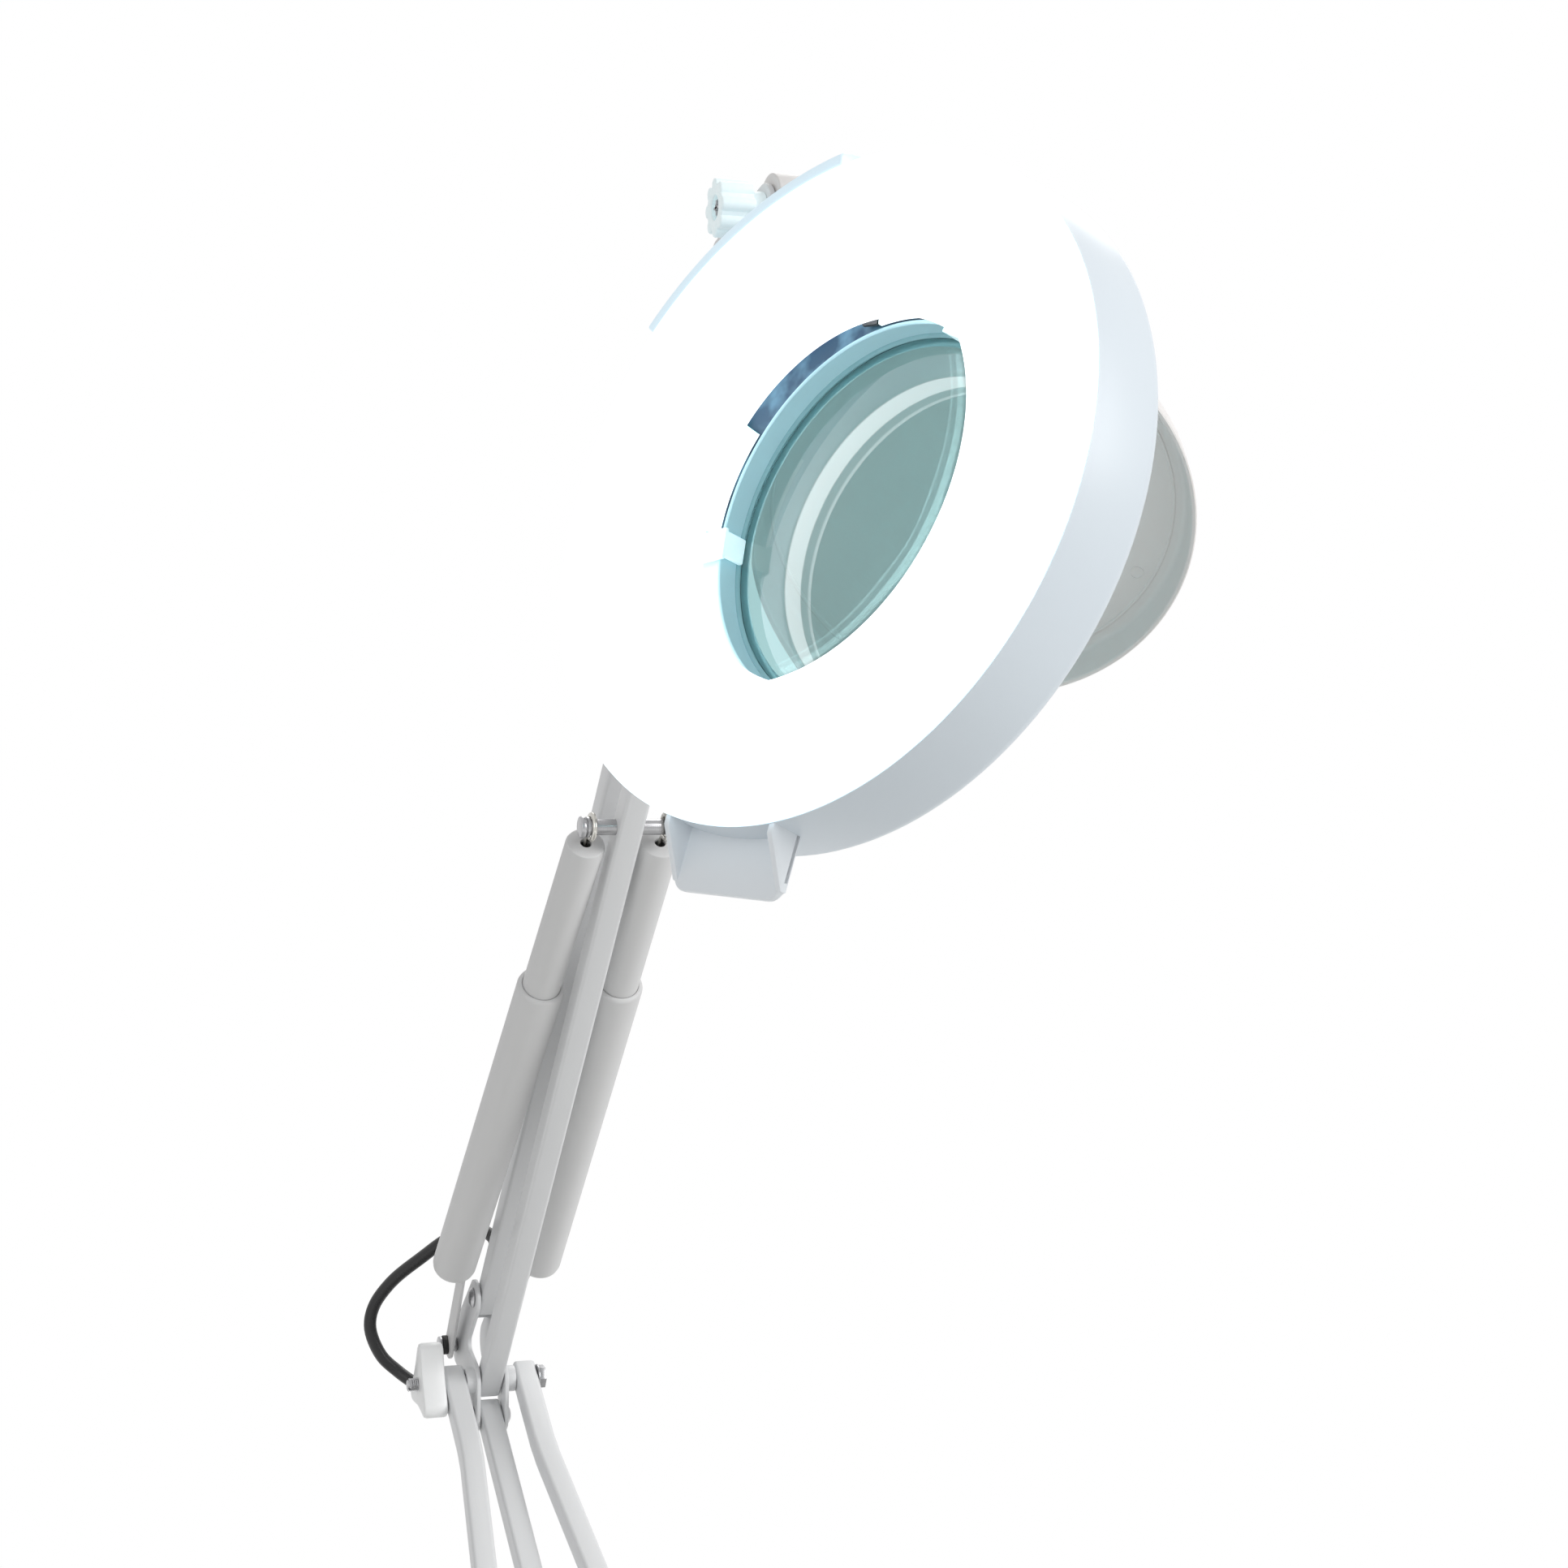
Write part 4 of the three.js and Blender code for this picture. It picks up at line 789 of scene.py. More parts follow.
def plug():
    """A two blade plug with a ribbed sleeve and a waist to grip."""
    width, depth = 25, 20.2
    place = Matrix.Translation(coil_point(COIL_LENGTH + PLUG_TAIL)) @ move(0, 0.3, 0) @ ALONG_Y
    ribs = []
    for number in range(5):
        z = 3 + number * 4
        radius = 4.3 + number * 0.5
        ribs += [(radius, z), (radius + 0.3, z + 2.3), (radius - 0.5, z + 2.7), (radius - 0.4, z + 3.6)]
    outline = [(0, 0), (CORD + 0.5, 0), (CORD + 0.8, 2.4), *ribs, (8, 25), (0, 25)]
    sleeve = soften(turned(outline, 48), 0.2, 2, 40)
    body = block(width, depth, 30, z=38)
    bmesh.ops.subdivide_edges(body, edges=list(body.edges), cuts=6, use_grid_fill=True)
    for vert in body.verts:
        waist = sin(pi * held((vert.co.z - 25) / 22))
        shoulder = max(0, (30 - vert.co.z) / 7)
        vert.co.x *= 1 - 0.11 * waist - 0.16 * shoulder
        vert.co.y *= 1 - 0.05 * waist - 0.2 * shoulder
    soften(body, 2.2, 4, 50)
    grips = [block(0.9, 12, 1.3, side * 11.6, 0, z, 0.4) for side in (-1, 1) for z in range(31, 44, 3)]
    rim = block(width, depth, 2, z=52.2, edge=0.8)
    make("plug_body", joined(sleeve, body, rim, *grips), black_plastic, "clamp", place, "lead_plug")

    def tip(edge):
        return edge.verts[0].co.z > 69 and edge.verts[1].co.z > 69
    blades = [soften(block(1.6, 6.3, 19, x, 0, 60.5), 0.6, 3, 60, tip) for x in (-6.35, 6.35)]
    make("plug_blades", joined(*blades), brass, "clamp", place)


def coil_strap():
    """The strap that holds the coiled lead together, with its lapped end on top."""
    inner, outer, bottom, top = 21.6, 50.4, 0.1, 14.4
    width = 9
    tie = bmesh.new()
    corners = ((inner, bottom), (outer, bottom), (outer, top), (inner, top))
    loop = tie.faces.new([tie.verts.new((x, 0, z)) for x, z in corners])
    bmesh.ops.bevel(tie, geom=list(loop.verts), offset=4.2, affect="VERTICES", segments=6, profile=0.5,
                    material=-1)
    bmesh.ops.inset_region(tie, faces=list(tie.faces), thickness=1.1, use_even_offset=True)
    hollow = max(tie.faces, key=lambda face: len(face.verts))
    bmesh.ops.delete(tie, geom=[hollow], context="FACES_ONLY")
    grown = bmesh.ops.extrude_face_region(tie, geom=list(tie.faces))
    bmesh.ops.translate(tie, vec=(0, width, 0), verts=new_corners(grown))
    bmesh.ops.recalc_face_normals(tie, faces=tie.faces)
    tab = block(15, width, 1.2, (inner + outer) / 2, width / 2, top + 0.7, 0.4)
    place = Matrix.Translation(COIL_MIDDLE) @ turn("Z", -60) @ move(0, -width / 2, 0)
    return make("coil_tie", joined(tie, tab), strap_fabric, "clamp", place)


def lead():
    """The lead: a stretch over the table, the coil and a short straight end at the plug."""
    lead_sleeve()
    plug()
    steps = COIL_TURNS * 32
    run_in = [coil_point(COIL_RUN_IN * (k / 3 - 1)) for k in range(1, 3)]
    coil = [coil_point(COIL_LENGTH * k / steps) for k in range(steps + 1)]
    tail = [coil_point(COIL_LENGTH + PLUG_TAIL * k / 6) for k in range(1, 7)]
    route = [point * MM for point in smooth_route(lead_points) + run_in + coil + tail]
    flex = wire("mains_lead", route, CORD * MM, cord_jacket, "clamp", ("lead_stretch", "lead_coil"),
                5)
    coil_strap()


# ---- table clamp and turret -------------------------------------------------------------------------


def clamp_jaws():
    """The clamp's frame with the turret's socket, a rib and the collar of the screw."""
    width = 32
    profile = [(-42, 0), (23, 0), (23, -69), (-34, -69), (-34, -78), (26, -78), (32, -72), (32, 3), (26, 9),
               (-42, 9)]
    jaws = placed(soften(plate(profile, width), 1.2, 3, 40), IN_YZ)
    bmesh.ops.translate(jaws, vec=(-width / 2, 0, 0), verts=jaws.verts)
    socket = turned([(6.4, 8.5), (15, 8.5), (14.2, 12), (13, 16), (13, 37.5), (12, 40), (7.4, 40),
                     (6.4, 39)], 72, True)
    collar = turned([(5.5, -69), (8.5, -69), (8, -66.5), (5.5, -66.5)], 48, True)
    placed(collar, CLAMP_SCREW)
    rib = block(5, 3, 20, 0, 14.5, 18, 1.2)
    shape = joined(jaws, soften(socket, 0.4, 2, 50), soften(collar, 0.3, 2, 50), rib)
    make("clamp_jaws", shape, arm_paint, "clamp", CLAMP, "clamp_frame")


def clamp_screw():
    """The screw with its bar and its foot."""
    core = [(0, -130), (7, -130), (8, -129), (8, -116), (6.6, -114), (4.1, -112), (4.1, -42), (3, -39.5),
            (0, -39)]
    spindle = joined(soften(turned(core, 48), 0.4, 2, 50), thread(4.1, 0.85, 2.0, -111, -42.5))
    make("clamp_spindle", spindle, steel, "clamp_screw", CLAMP_SCREW, "clamp_screw")
    bar = pin([(-31, 4.5), (-26, 2.8), (26, 4.5), (31, 4.5)], 0.9)
    make("tommy_bar", bar, steel, "clamp_handle", CLAMP_SCREW @ move(0, 0, -122.5), "clamp_handle")
    cup = turned([(0, -38.7), (6, -38.7), (9, -38.2), (14.4, -35), (15, -34), (15, -32.6), (0, -32.6)], 64)
    face = turned([(0, -32.7), (14.2, -32.7), (14.2, -32), (11, -32), (10.6, -32.25), (6, -32.25),
                   (5.6, -32), (0, -32)], 64)
    shape = joined(soften(cup, 0.4, 2, 40), soften(face, 0.15, 2, 40))
    make("foot_cup", shape, pad_rubber, "clamp_foot", CLAMP_SCREW, "clamp_foot")


def turret():
    """The yoke that turns in the clamp, with the pins of the lower arm."""
    floor = TURRET_FLOOR
    outer = TURRET_CHEEK + 3
    cheek_top = BASE_HEIGHT + LOWER_FOOT[1]
    discs = [(-13, floor + 6, 1), (13, floor + 6, 1), (0, cheek_top, 10)]
    cheeks = [strap(discs, *on_side(side, TURRET_CHEEK, outer), 72, 0.5) for side in (-1, 1)]
    foot = block(48, 28, 2.4, 0, 0, floor + 6, 0.6)
    post = turned([(0, 12.6), (5.2, 12.6), (6, 13.6), (6, floor), (12, floor), (12, floor + 5),
                   (0, floor + 5)], 64)
    yoke = joined(foot, soften(post, 0.4, 2, 50), *cheeks)
    make("turret_yoke", yoke, arm_paint, "turret", CLAMP, "turret_bracket")
    reach = OUTER_BOTTOM + TUBE / 2 + 1
    for side, name in SIDES:
        shaft = pin([(side * 19.2, 6), (side * 21.7, 4), (side * reach, 6.5), (side * (reach + 3), 6.5)])
        nut = hexagon(5.2, side * (reach + 0.4), side * (reach + 3.6))
        make(f"turret_pivot_{name}", joined(shaft, nut), steel, "turret", move(0, 0, BASE_HEIGHT),
             f"turret_pivot_pin_{name}")
    link_place = move(0, 0, BASE_HEIGHT - LOWER_DROP)
    rivet("turret_link_rivet", outer, 3, 5, "turret", link_place, "turret_link_pin")
    rivet("turret_spring_rivet", outer, 1.3, 5, "turret", move(0, 0, cheek_top), "turret_spring_pin")


# ---- arm bars ---------------------------------------------------------------------------------------


def outer_bar(side):
    """A bar of the lower arm: straight, spread between two bends, then straight again."""
    half = TUBE / 2
    top_bend, low_bend, round_by = 50, 190, 6
    spread = round_by * (OUTER_BOTTOM - OUTER_TOP) / (low_bend - top_bend)
    middle = [(1 - TUBE_END, OUTER_TOP), (top_bend - round_by, OUTER_TOP),
              (top_bend + round_by, OUTER_TOP + spread), (low_bend - round_by, OUTER_BOTTOM - spread),
              (low_bend + round_by, OUTER_BOTTOM), (LOWER_LENGTH + TUBE_END, OUTER_BOTTOM)]
    outline = [(side * (x + half), -u) for u, x in middle]
    outline += [(side * (x - half), -u) for u, x in reversed(middle)]
    bar = placed(plate(outline, TUBE), move(0, half, 0) @ turn("X", 90))

    def lengthwise(edge):
        return (edge.verts[0].co - edge.verts[1].co).length > TUBE + 0.5
    soften(bar, 1.9, 5, 60, lengthwise)
    return soften(bar, 1.4, 4, 60)


def lower_arm():
    rod_height = ROD_DOWN - LOWER_LENGTH
    for side, name in SIDES:
        peg = placed(pin([(side * 11, ROD), (side * 27.5, ROD)]), move(0, 0, rod_height))
        make(f"outer_bar_{name}", joined(outer_bar(side), peg), arm_paint, "lower_arm", LOWER_ARM,
             f"lower_bar_{name}")
    outer = OUTER_TOP + TUBE / 2
    shank = pin([(-42, 2.5), (-40.8, 3.1), (outer + 0.3, 6.2), (outer + 1.2, 6.2)], 0.3)
    ridge = placed(thread(3.0, 0.45, 1.0, -41.5, -29), ALONG_X)
    screw = joined(shank, ridge, hexagon(6, outer + 1, outer + 4.5))
    make("elbow_screw", screw, steel, "lower_arm", LOWER_ARM, "elbow_bolt")
    link = square_tube(-LOWER_LENGTH - TUBE_END, TUBE_END - 2)
    make("link_bar", link, arm_paint, "lower_link", LOWER_LINK, "lower_link_bar")


def upper_arm():
    front = square_tube(1 - TUBE_END, UPPER_LENGTH + TUBE_END)
    make("front_bar", front, arm_paint, "upper_arm", UPPER_ARM, "upper_front_bar")
    rear = square_tube(-TUBE_END, UPPER_LENGTH + TUBE_END)
    make("rear_bar", rear, arm_paint, "upper_link", UPPER_LINK, "upper_rear_bar")
    end = 18.7
    ends = []
    for side in (-1, 1):
        low, high = on_side(side, end, end + 2.3)
        washer = placed(ring(3, 4.4, -0.5, 0.5), move(side * 17.6, 0, 0) @ ALONG_X)
        ends += [pin([(low, 4.6), (high, 4.6)], 0.6), washer]
    lines = placed(thread(3.1, 0.28, 0.9, -18.4, 18.4), ALONG_X)
    rod = joined(pin([(-end, ROD), (end, ROD)], 0.4), lines, *ends)
    make("spring_rod", rod, steel, "upper_arm", UPPER_ARM @ move(0, 0, ROD_UP), "upper_spring_rod")


# ---- elbow ------------------------------------------------------------------------------------------


def elbow_yoke():
    """Two curved cheeks joined by a bridge, with their spacers and two pivot pins."""
    outer = ELBOW_CHEEK + CHEEK
    discs = [(0, -LOWER_DROP, 8), (11.6, -9.7, -3), (*UPPER_FOOT, 11), (0, UPPER_RISE, 9), (9.2, 16.9, -4),
             (0, 0, 9)]
    cheeks = [cheek_plate(discs, *on_side(side, ELBOW_CHEEK, outer)) for side in (-1, 1)]
    spacers = []
    for side in (-1, 1):
        low, high = on_side(side, ELBOW_CHEEK + 1, OUTER_TOP - TUBE / 2 - 0.3)
        spacers.append(placed(soften(ring(3.9, 6.5, low, high, 48), 0.3, 2, 60), ALONG_X))
    slope = degrees(atan2(UPPER_FOOT[1] - UPPER_RISE, UPPER_FOOT[0]))
    bridge = placed(block(2 * ELBOW_CHEEK + CHEEK, 24, 2, edge=0.5), move(0, 25.1, 33.1) @ turn("X", slope))
    yoke = joined(bridge, *cheeks, *spacers)
    make("elbow_yoke", yoke, arm_paint, "elbow", ELBOW_PLACE, "elbow_bracket")
    for name, z, node in (("link", -LOWER_DROP, "lower"), ("rear", UPPER_RISE, "upper")):
        rivet(f"elbow_{name}_rivet", outer, 2.5, 5, "elbow", ELBOW_PLACE @ move(0, 0, z),
              f"elbow_{node}_link_pin")


def spring_pins():
    """The pins at the upper springs' feet, each with a steel sleeve and a rubber ring."""
    place = ELBOW_PLACE @ move(0, *UPPER_FOOT)
    trims = (("sleeve", 3.9, 8.6, 10.6, steel, "steel"),
             ("ring", 4.9, 13.2, 15.9, pad_rubber, "black_rubber"))
    for side, name in SIDES:
        shaft = pin([(side * 6.5, PIN), (side * 16.2, 4.5), (side * 18, 4.5)])
        make(f"spring_pin_{name}", shaft, steel, "elbow", place, f"elbow_spring_pin_{name}")
        for kind, radius, near, far, material, slot in trims:
            trim = placed(soften(ring(3.05, radius, *on_side(side, near, far)), 0.4, 3, 60), ALONG_X)
            make(f"spring_pin_{kind}_{name}", trim, material, "elbow", place)


def elbow_knob():
    """A knob with three round lobes and hollow flanks between them."""
    lobes = []
    for angle in (96, 216, 336):
        for reach, way, radius in ((16, angle, 5), (41.6, angle + 60, -30)):
            lobes.append((reach * cos(radians(way)), reach * sin(radians(way)), radius))
    body = cheek_plate(lobes, -36.6, -24.6, 1.6)
    make("tri_knob", body, knob_plastic, "elbow_knob", ELBOW_PLACE, "elbow_knob")


# ---- springs and their covers -----------------------------------------------------------------------


def spring_frame(start, end):
    """The frame of a spring: Z runs from its foot to its hook, and X stays as level as it can."""
    along = (end - start).normalized()
    across = (Vector((1, 0, 0)) - along * along.x).normalized()
    third = along.cross(across)
    return Matrix.Translation(start) @ Matrix((across, third, along)).transposed().to_4x4()


def spring_sleeve(label, name, covers, place, link_x):
    """The wide cover, the flat link that hangs it on the foot pin, and the cap where the link enters."""
    outer, tube_radius, first, length = covers
    last = first + length
    mouth = tube_radius + 0.12
    inside = outer - 1.2
    sleeve = turned([
        (2, first), (outer - 3.4, first), (outer - 1.5, first + 0.7), (outer - 0.4, first + 2),
        (outer, first + 3.8), (outer, last - 1.9), (outer - 0.3, last - 0.8), (outer - 0.9, last - 0.15),
        (outer - 1.5, last), (mouth + 0.3, last), (mouth, last - 0.3), (mouth, last - 4),
        (inside, last - 4.6), (inside, first + 3), (2, first + 3)], 72, True)
    at_pin, at_cover = link_x
    link = strap([(0, 0, 0.65 * outer), (0, first - 1, 0.5 * outer)], -0.8, 0.8, 48, 0.3)
    for vert in link.verts:
        vert.co.x += at_pin + (at_cover - at_pin) * held(vert.co.z / first)
    body = f"{label}_springs_foot"
    make(f"{label}_sleeve_{name}", joined(sleeve, link), sleeve_plastic, body, place,
         f"{label}_cover_lower_{name}", 40)
    cap = turned([(1.4, first - 2.2), (3.4, first - 2.2), (3.8, first + 0.4), (1.4, first + 0.4)], 40, True)
    placed(soften(cap, 0.3, 2, 50), move(at_cover, 0, 0))
    make(f"{label}_sleeve_cap_{name}", cap, black_plastic, body, place)


def spring_tube(label, name, covers, place, length):
    """The narrow cover that slides in the wide one."""
    radius = covers[1]
    low = covers[2] + 30
    top = length - 10
    inside = radius - 1.2
    tube = turned([(radius, low), (radius, top - 1.6), (radius - 0.5, top - 0.4), (radius - 1.3, top),
                   (2.4, top), (2.4, top - 2), (inside, top - 2), (inside, low)], 64, True)
    make(f"{label}_tube_{name}", soften(tube, 0.2, 2, 50), sleeve_plastic, f"{label}_springs_hook", place,
         f"{label}_cover_upper_{name}")


def spring_coil(label, name, covers, place, length):
    """A spring's wire: the coil, a straight shank and the hook round the rod."""
    radius, pitch, per_turn = 4.2, 2.9, 12
    low = covers[2] + 14
    high = length - 24
    turns = int((high - low) / pitch)
    coil = []
    for k in range(turns * per_turn):
        angle = 2 * pi * k / per_turn
        coil.append(Vector((radius * cos(angle), radius * sin(angle), low + pitch * k / per_turn)))
    top = coil[-1].z
    shank = [(2.0, top + 2.2), (0.6, top + 4.5), (0, length - 14), (0, length - 6.4)]
    shank = [Vector((x, 0, z)) for x, z in shank]
    eye = ROD + 2.0
    hook = [Vector((0.35, -eye * sin(radians(angle)), length - eye * cos(radians(angle))))
            for angle in range(12, 338, 14)]
    route = [(place @ point) * MM for point in coil + shank + hook]
    wire(f"{label}_coil_{name}", route, 1.1 * MM, spring_wire, f"{label}_springs_hook",
         f"{label}_spring_{name}", 2)


def springs(label, covers, foot, hook, foot_x, hook_x, inward=(0, 0)):
    """Two covered springs; at the pin and at the cover, the flat links are this far in from their axis."""
    for side, name in SIDES:
        start = Vector((side * foot_x, foot.y, foot.z))
        end = Vector((side * hook_x, hook.y, hook.z))
        place = spring_frame(start, end)
        length = (end - start).length
        spring_sleeve(label, name, covers, place, [-side * shift for shift in inward])
        spring_tube(label, name, covers, place, length)
        spring_coil(label, name, covers, place, length)


# ---- head bracket and tilt joint --------------------------------------------------------------------


def head_bracket():
    """The hanger at the top of the upper arm, with its pins and the tilt screw."""
    outer = HEAD_CHEEK + CHEEK
    discs = [(-TILT_FORWARD, TILT_RISE, 9.5), (0, 0, 8), (0, UPPER_RISE, 8)]
    cheeks = [strap(discs, *on_side(side, HEAD_CHEEK, outer)) for side in (-1, 1)]
    bridge = block(2 * HEAD_CHEEK + 2, 2, 26, 0, -26, 33, 0.4)
    yoke = joined(bridge, *cheeks)
    make("hanger_yoke", yoke, arm_paint, "head_hanger", HANGER, "head_bracket")
    for name, z in (("front", 0), ("rear", UPPER_RISE)):
        rivet(f"hanger_{name}_rivet", outer, 2, 4.5, "head_hanger", HANGER @ move(0, 0, z),
              f"head_{name}_pin")
    shank = pin([(-22.6, 2.9), (outer + 0.3, 6), (outer + 1.2, 6)], 0.3)
    cap = turned([(0, -26.2), (1.2, -26.2), (1.2, -25.4), (2.6, -25.6), (3.7, -25.2), (3.9, -24.7),
                  (3.9, -22.2), (0, -22.2)], 40)
    cross_head = placed(joined(cap, *cross_slots(0.9, 5.2, 0.5, -25.95, 0.1, (0, 90))), ALONG_X)
    screw = joined(shank, hexagon(5.6, outer + 1.0, outer + 4.5), cross_head)
    make("tilt_screw", screw, steel, "head_hanger", TILT_PLACE, "tilt_bolt")


def star_knob():
    """A knob with eight round ribs and a recess for the screw's head."""
    grip = turned([(3.4, -22.4), (4.4, -22.4), (4.4, -26.2), (4.9, -26.9), (7.4, -27), (7.4, -16),
                   (6.5, -15), (6.5, -9.5), (3.4, -9.5)], 72, True)
    count = 8
    lobes = []
    for number in range(count):
        angle = 2 * pi * number / count
        lobe = placed(round_bar(2.55, -27, -14.5, 28), move(7.75 * cos(angle), 7.75 * sin(angle), 0))
        lobes.append(soften(lobe, 0.7, 3, 60))
    body = soften(ring(4.4, 8.5, -26.8, -14.7, 72), 0.5, 3, 60)
    knob = placed(joined(soften(grip, 0.3, 2, 50), body, *lobes), ALONG_X)
    # The knob's finish is painted light: brighter and faintly glowing, though it lies in shade.
    make("star_knob", knob, star_knob_painted_light, "tilt_knob", TILT_PLACE, "tilt_knob")


def swivel():
    """The block between the hanger's cheeks and the stud that the head turns on."""
    half = HEAD_CHEEK - 0.5
    barrel = placed(soften(ring(3.4, 13.2, -half, half, 72), 0.6, 3, 60), ALONG_X)
    body = block(2 * half, 16, 15, 0, -8, 0, 1.0)
    make("swivel_block", joined(barrel, body), cover_plastic, "neck", NECK, "tilt_block")
    stud = turned([(0, 16.3), (7.5, 16.3), (7.5, 18.4), (5, 18.4), (5, 29.1), (4.4, 29.7), (0, 29.7)], 48)
    soften(stud, 0.3, 2, 60)
    make("swivel_post", stud, steel, "neck", NECK @ turn("X", 90), "swivel_stud")


# ---- head -------------------------------------------------------------------------------------------


def on_head(radius, angle, z=0):
    """A place in the head's frame at an angle from the neck, turning towards the head's left."""
    return Vector((-radius * sin(radians(angle)), radius * cos(radians(angle)), z))


def head_shell():
    """The head's shell: the wall, a rear face with two grooves, and the tube that holds the lens."""
    rear = -WALL_DEPTH
    inside = rear + WALL
    rabbet = ((0, 0), (0.4, 0.4), (1, 0.4), (1.4, 0))
    grooves = [(radius - step, rear + depth) for radius in (98, 81) for step, depth in rabbet]
    shell = turned([
        (110.6, -3.1), (RIM, -3.1), (113.35, -8), (REAR, rear + 4.1), (114.5, rear + 2.5), (113.7, rear + 1),
        (112.2, rear + 0.2), (110, rear), *grooves, (COLLAR + 2, rear), (COLLAR + 0.8, rear - 1),
        (COLLAR, COLLAR_END + 1), (COLLAR - 1, COLLAR_END), (61.2, COLLAR_END), (60.5, COLLAR_END + 0.5),
        (60.5, COLLAR_END + 1.6), (COLLAR_BORE, COLLAR_END + 1.6), (COLLAR_BORE, COLLAR_END + 3),
        (65, COLLAR_END + 3), (65, COLLAR_FACE - 0.6), (COLLAR, COLLAR_FACE - 0.6), (COLLAR, inside),
        (111.2, inside)], 160, True)
    make("head_shell", shell, head_plastic, "head", HEAD, "housing", 40)


def neck_fan():
    """The fan shaped shoulder between the shell and the neck, and the boss round the stud."""
    rear = -WALL_DEPTH
    sweep = 47.0
    fan = turned([(111.6, -3.3), (113.4, -3.3), (113.6, -1), (117.2, -1), (118.2, -1.5), (119, -3),
                  (124.6, -18.6), (125, -20.5), (125, rear + 1.7), (124.4, rear + 0.4), (123, rear),
                  (111.6, rear)], 36, True, sweep, 90 - sweep / 2)
    # The fan's finish is painted light near the ring and painted shade towards its outer edge.
    make("neck_fan", soften(fan, 0.7, 3, 60), fan_painted_glow, "head", HEAD)
    boss = turned([(5.4, 111.2), (11, 111.2), (11, 123), (9.6, 125), (5.4, 125)], 64, True)
    placed(soften(boss, 0.5, 3, 50), move(0, 0, -NECK_DEPTH) @ ALONG_Y)
    make("neck_boss", boss, head_plastic, "head", HEAD)


def finger_scoop():
    """A lip with two side walls, to pull the head by."""
    root = RIM - 4.5
    wall = 2.4

    def outer_corner(edge):
        reaches_out = all(vert.co.y > HANDLE_REACH - 2 for vert in edge.verts)
        return reaches_out and abs(edge.verts[0].co.z - edge.verts[1].co.z) > 1
    lip = block(50, HANDLE_REACH - root, wall, 0, (HANDLE_REACH + root) / 2, -14.2)
    soften(lip, 6, 8, 60, outer_corner)
    soften(lip, 0.6, 3, 60)
    side = [(root, -15.4), (129, -15.4), (129, -13), (113.5, -3.4), (root, -3.4)]
    walls = []
    for x in (-25, 25 - wall):
        walls.append(placed(soften(placed(plate(side, wall), IN_YZ), 0.45, 2, 40), move(x, 0, 0)))
    # The scoop's lighter finish is painted light.
    make("finger_scoop", joined(lip, *walls), scoop_painted_light, "head", HEAD @ turn("Z", HANDLE_ANGLE))


def hinge_lugs():
    foot = 0.6 - WALL_DEPTH
    discs = [(HINGE_Y + 2.5, foot, 0.6), (HINGE_Y - 2.5, foot, 0.6), (HINGE_Y, HINGE_Z, 3.1)]
    for x, name in ((-14, "left"), (11, "right")):
        make(f"hinge_lug_{name}", strap(discs, x, x + 3, 40, 0.3), head_plastic, "head", HEAD)


def lens_tube():
    """The lining of the lens tube with its bright front edge, and the seal in front of the lens."""
    face = COLLAR_FACE
    lining = turned([(COLLAR_BORE, COLLAR_END + 6.2), (65, COLLAR_END + 6.2), (65, face - 0.6),
                     (COLLAR, face - 0.6), (COLLAR, face - 0.2), (COLLAR - 0.3, face), (64.5, face),
                     (COLLAR_BORE, face - 0.4)], 144, True)
    make("lens_collar", lining, collar_plastic, "head", HEAD)
    front = COLLAR_END + 5.4
    seal = turned([(62.8, front - 0.6), (64.6, front - 0.6), (64.6, front + 0.8), (63.7, front + 0.8),
                   (63.2, front + 0.5), (62.8, front)], 144, True)
    make("lens_seal", seal, seal_rubber, "head", HEAD)


def clip_posts():
    """The posts that the lens clips are screwed to."""
    posts = []
    for angle in CLIP_ANGLES:
        post = round_bar(3, 2 - WALL_DEPTH, COLLAR_FACE, 36)
        posts.append(placed(post, Matrix.Translation(on_head(CLIP_POST, angle))))
    # The posts glow faintly: painted light.
    make("clip_posts", joined(*posts), board_painted_glow, "head", HEAD)


def back_screws():
    for number, angle in enumerate((45, 135, 225, 315)):
        head = turned([(0, -0.2), (1.1, -0.2), (1.1, 0.5), (2.7, 0.3), (3.2, -0.4), (3.2, -0.8),
                       (0, -0.8)], 32)
        screw = joined(head, *cross_slots(0.7, 3.6, 0.4, 0.35, 0.08, (20, 110)))
        place = HEAD @ Matrix.Translation(on_head(104, angle, -WALL_DEPTH - 0.3)) @ turn("X", 180)
        make(f"back_screw_{number + 1}", screw, steel, "head", place)


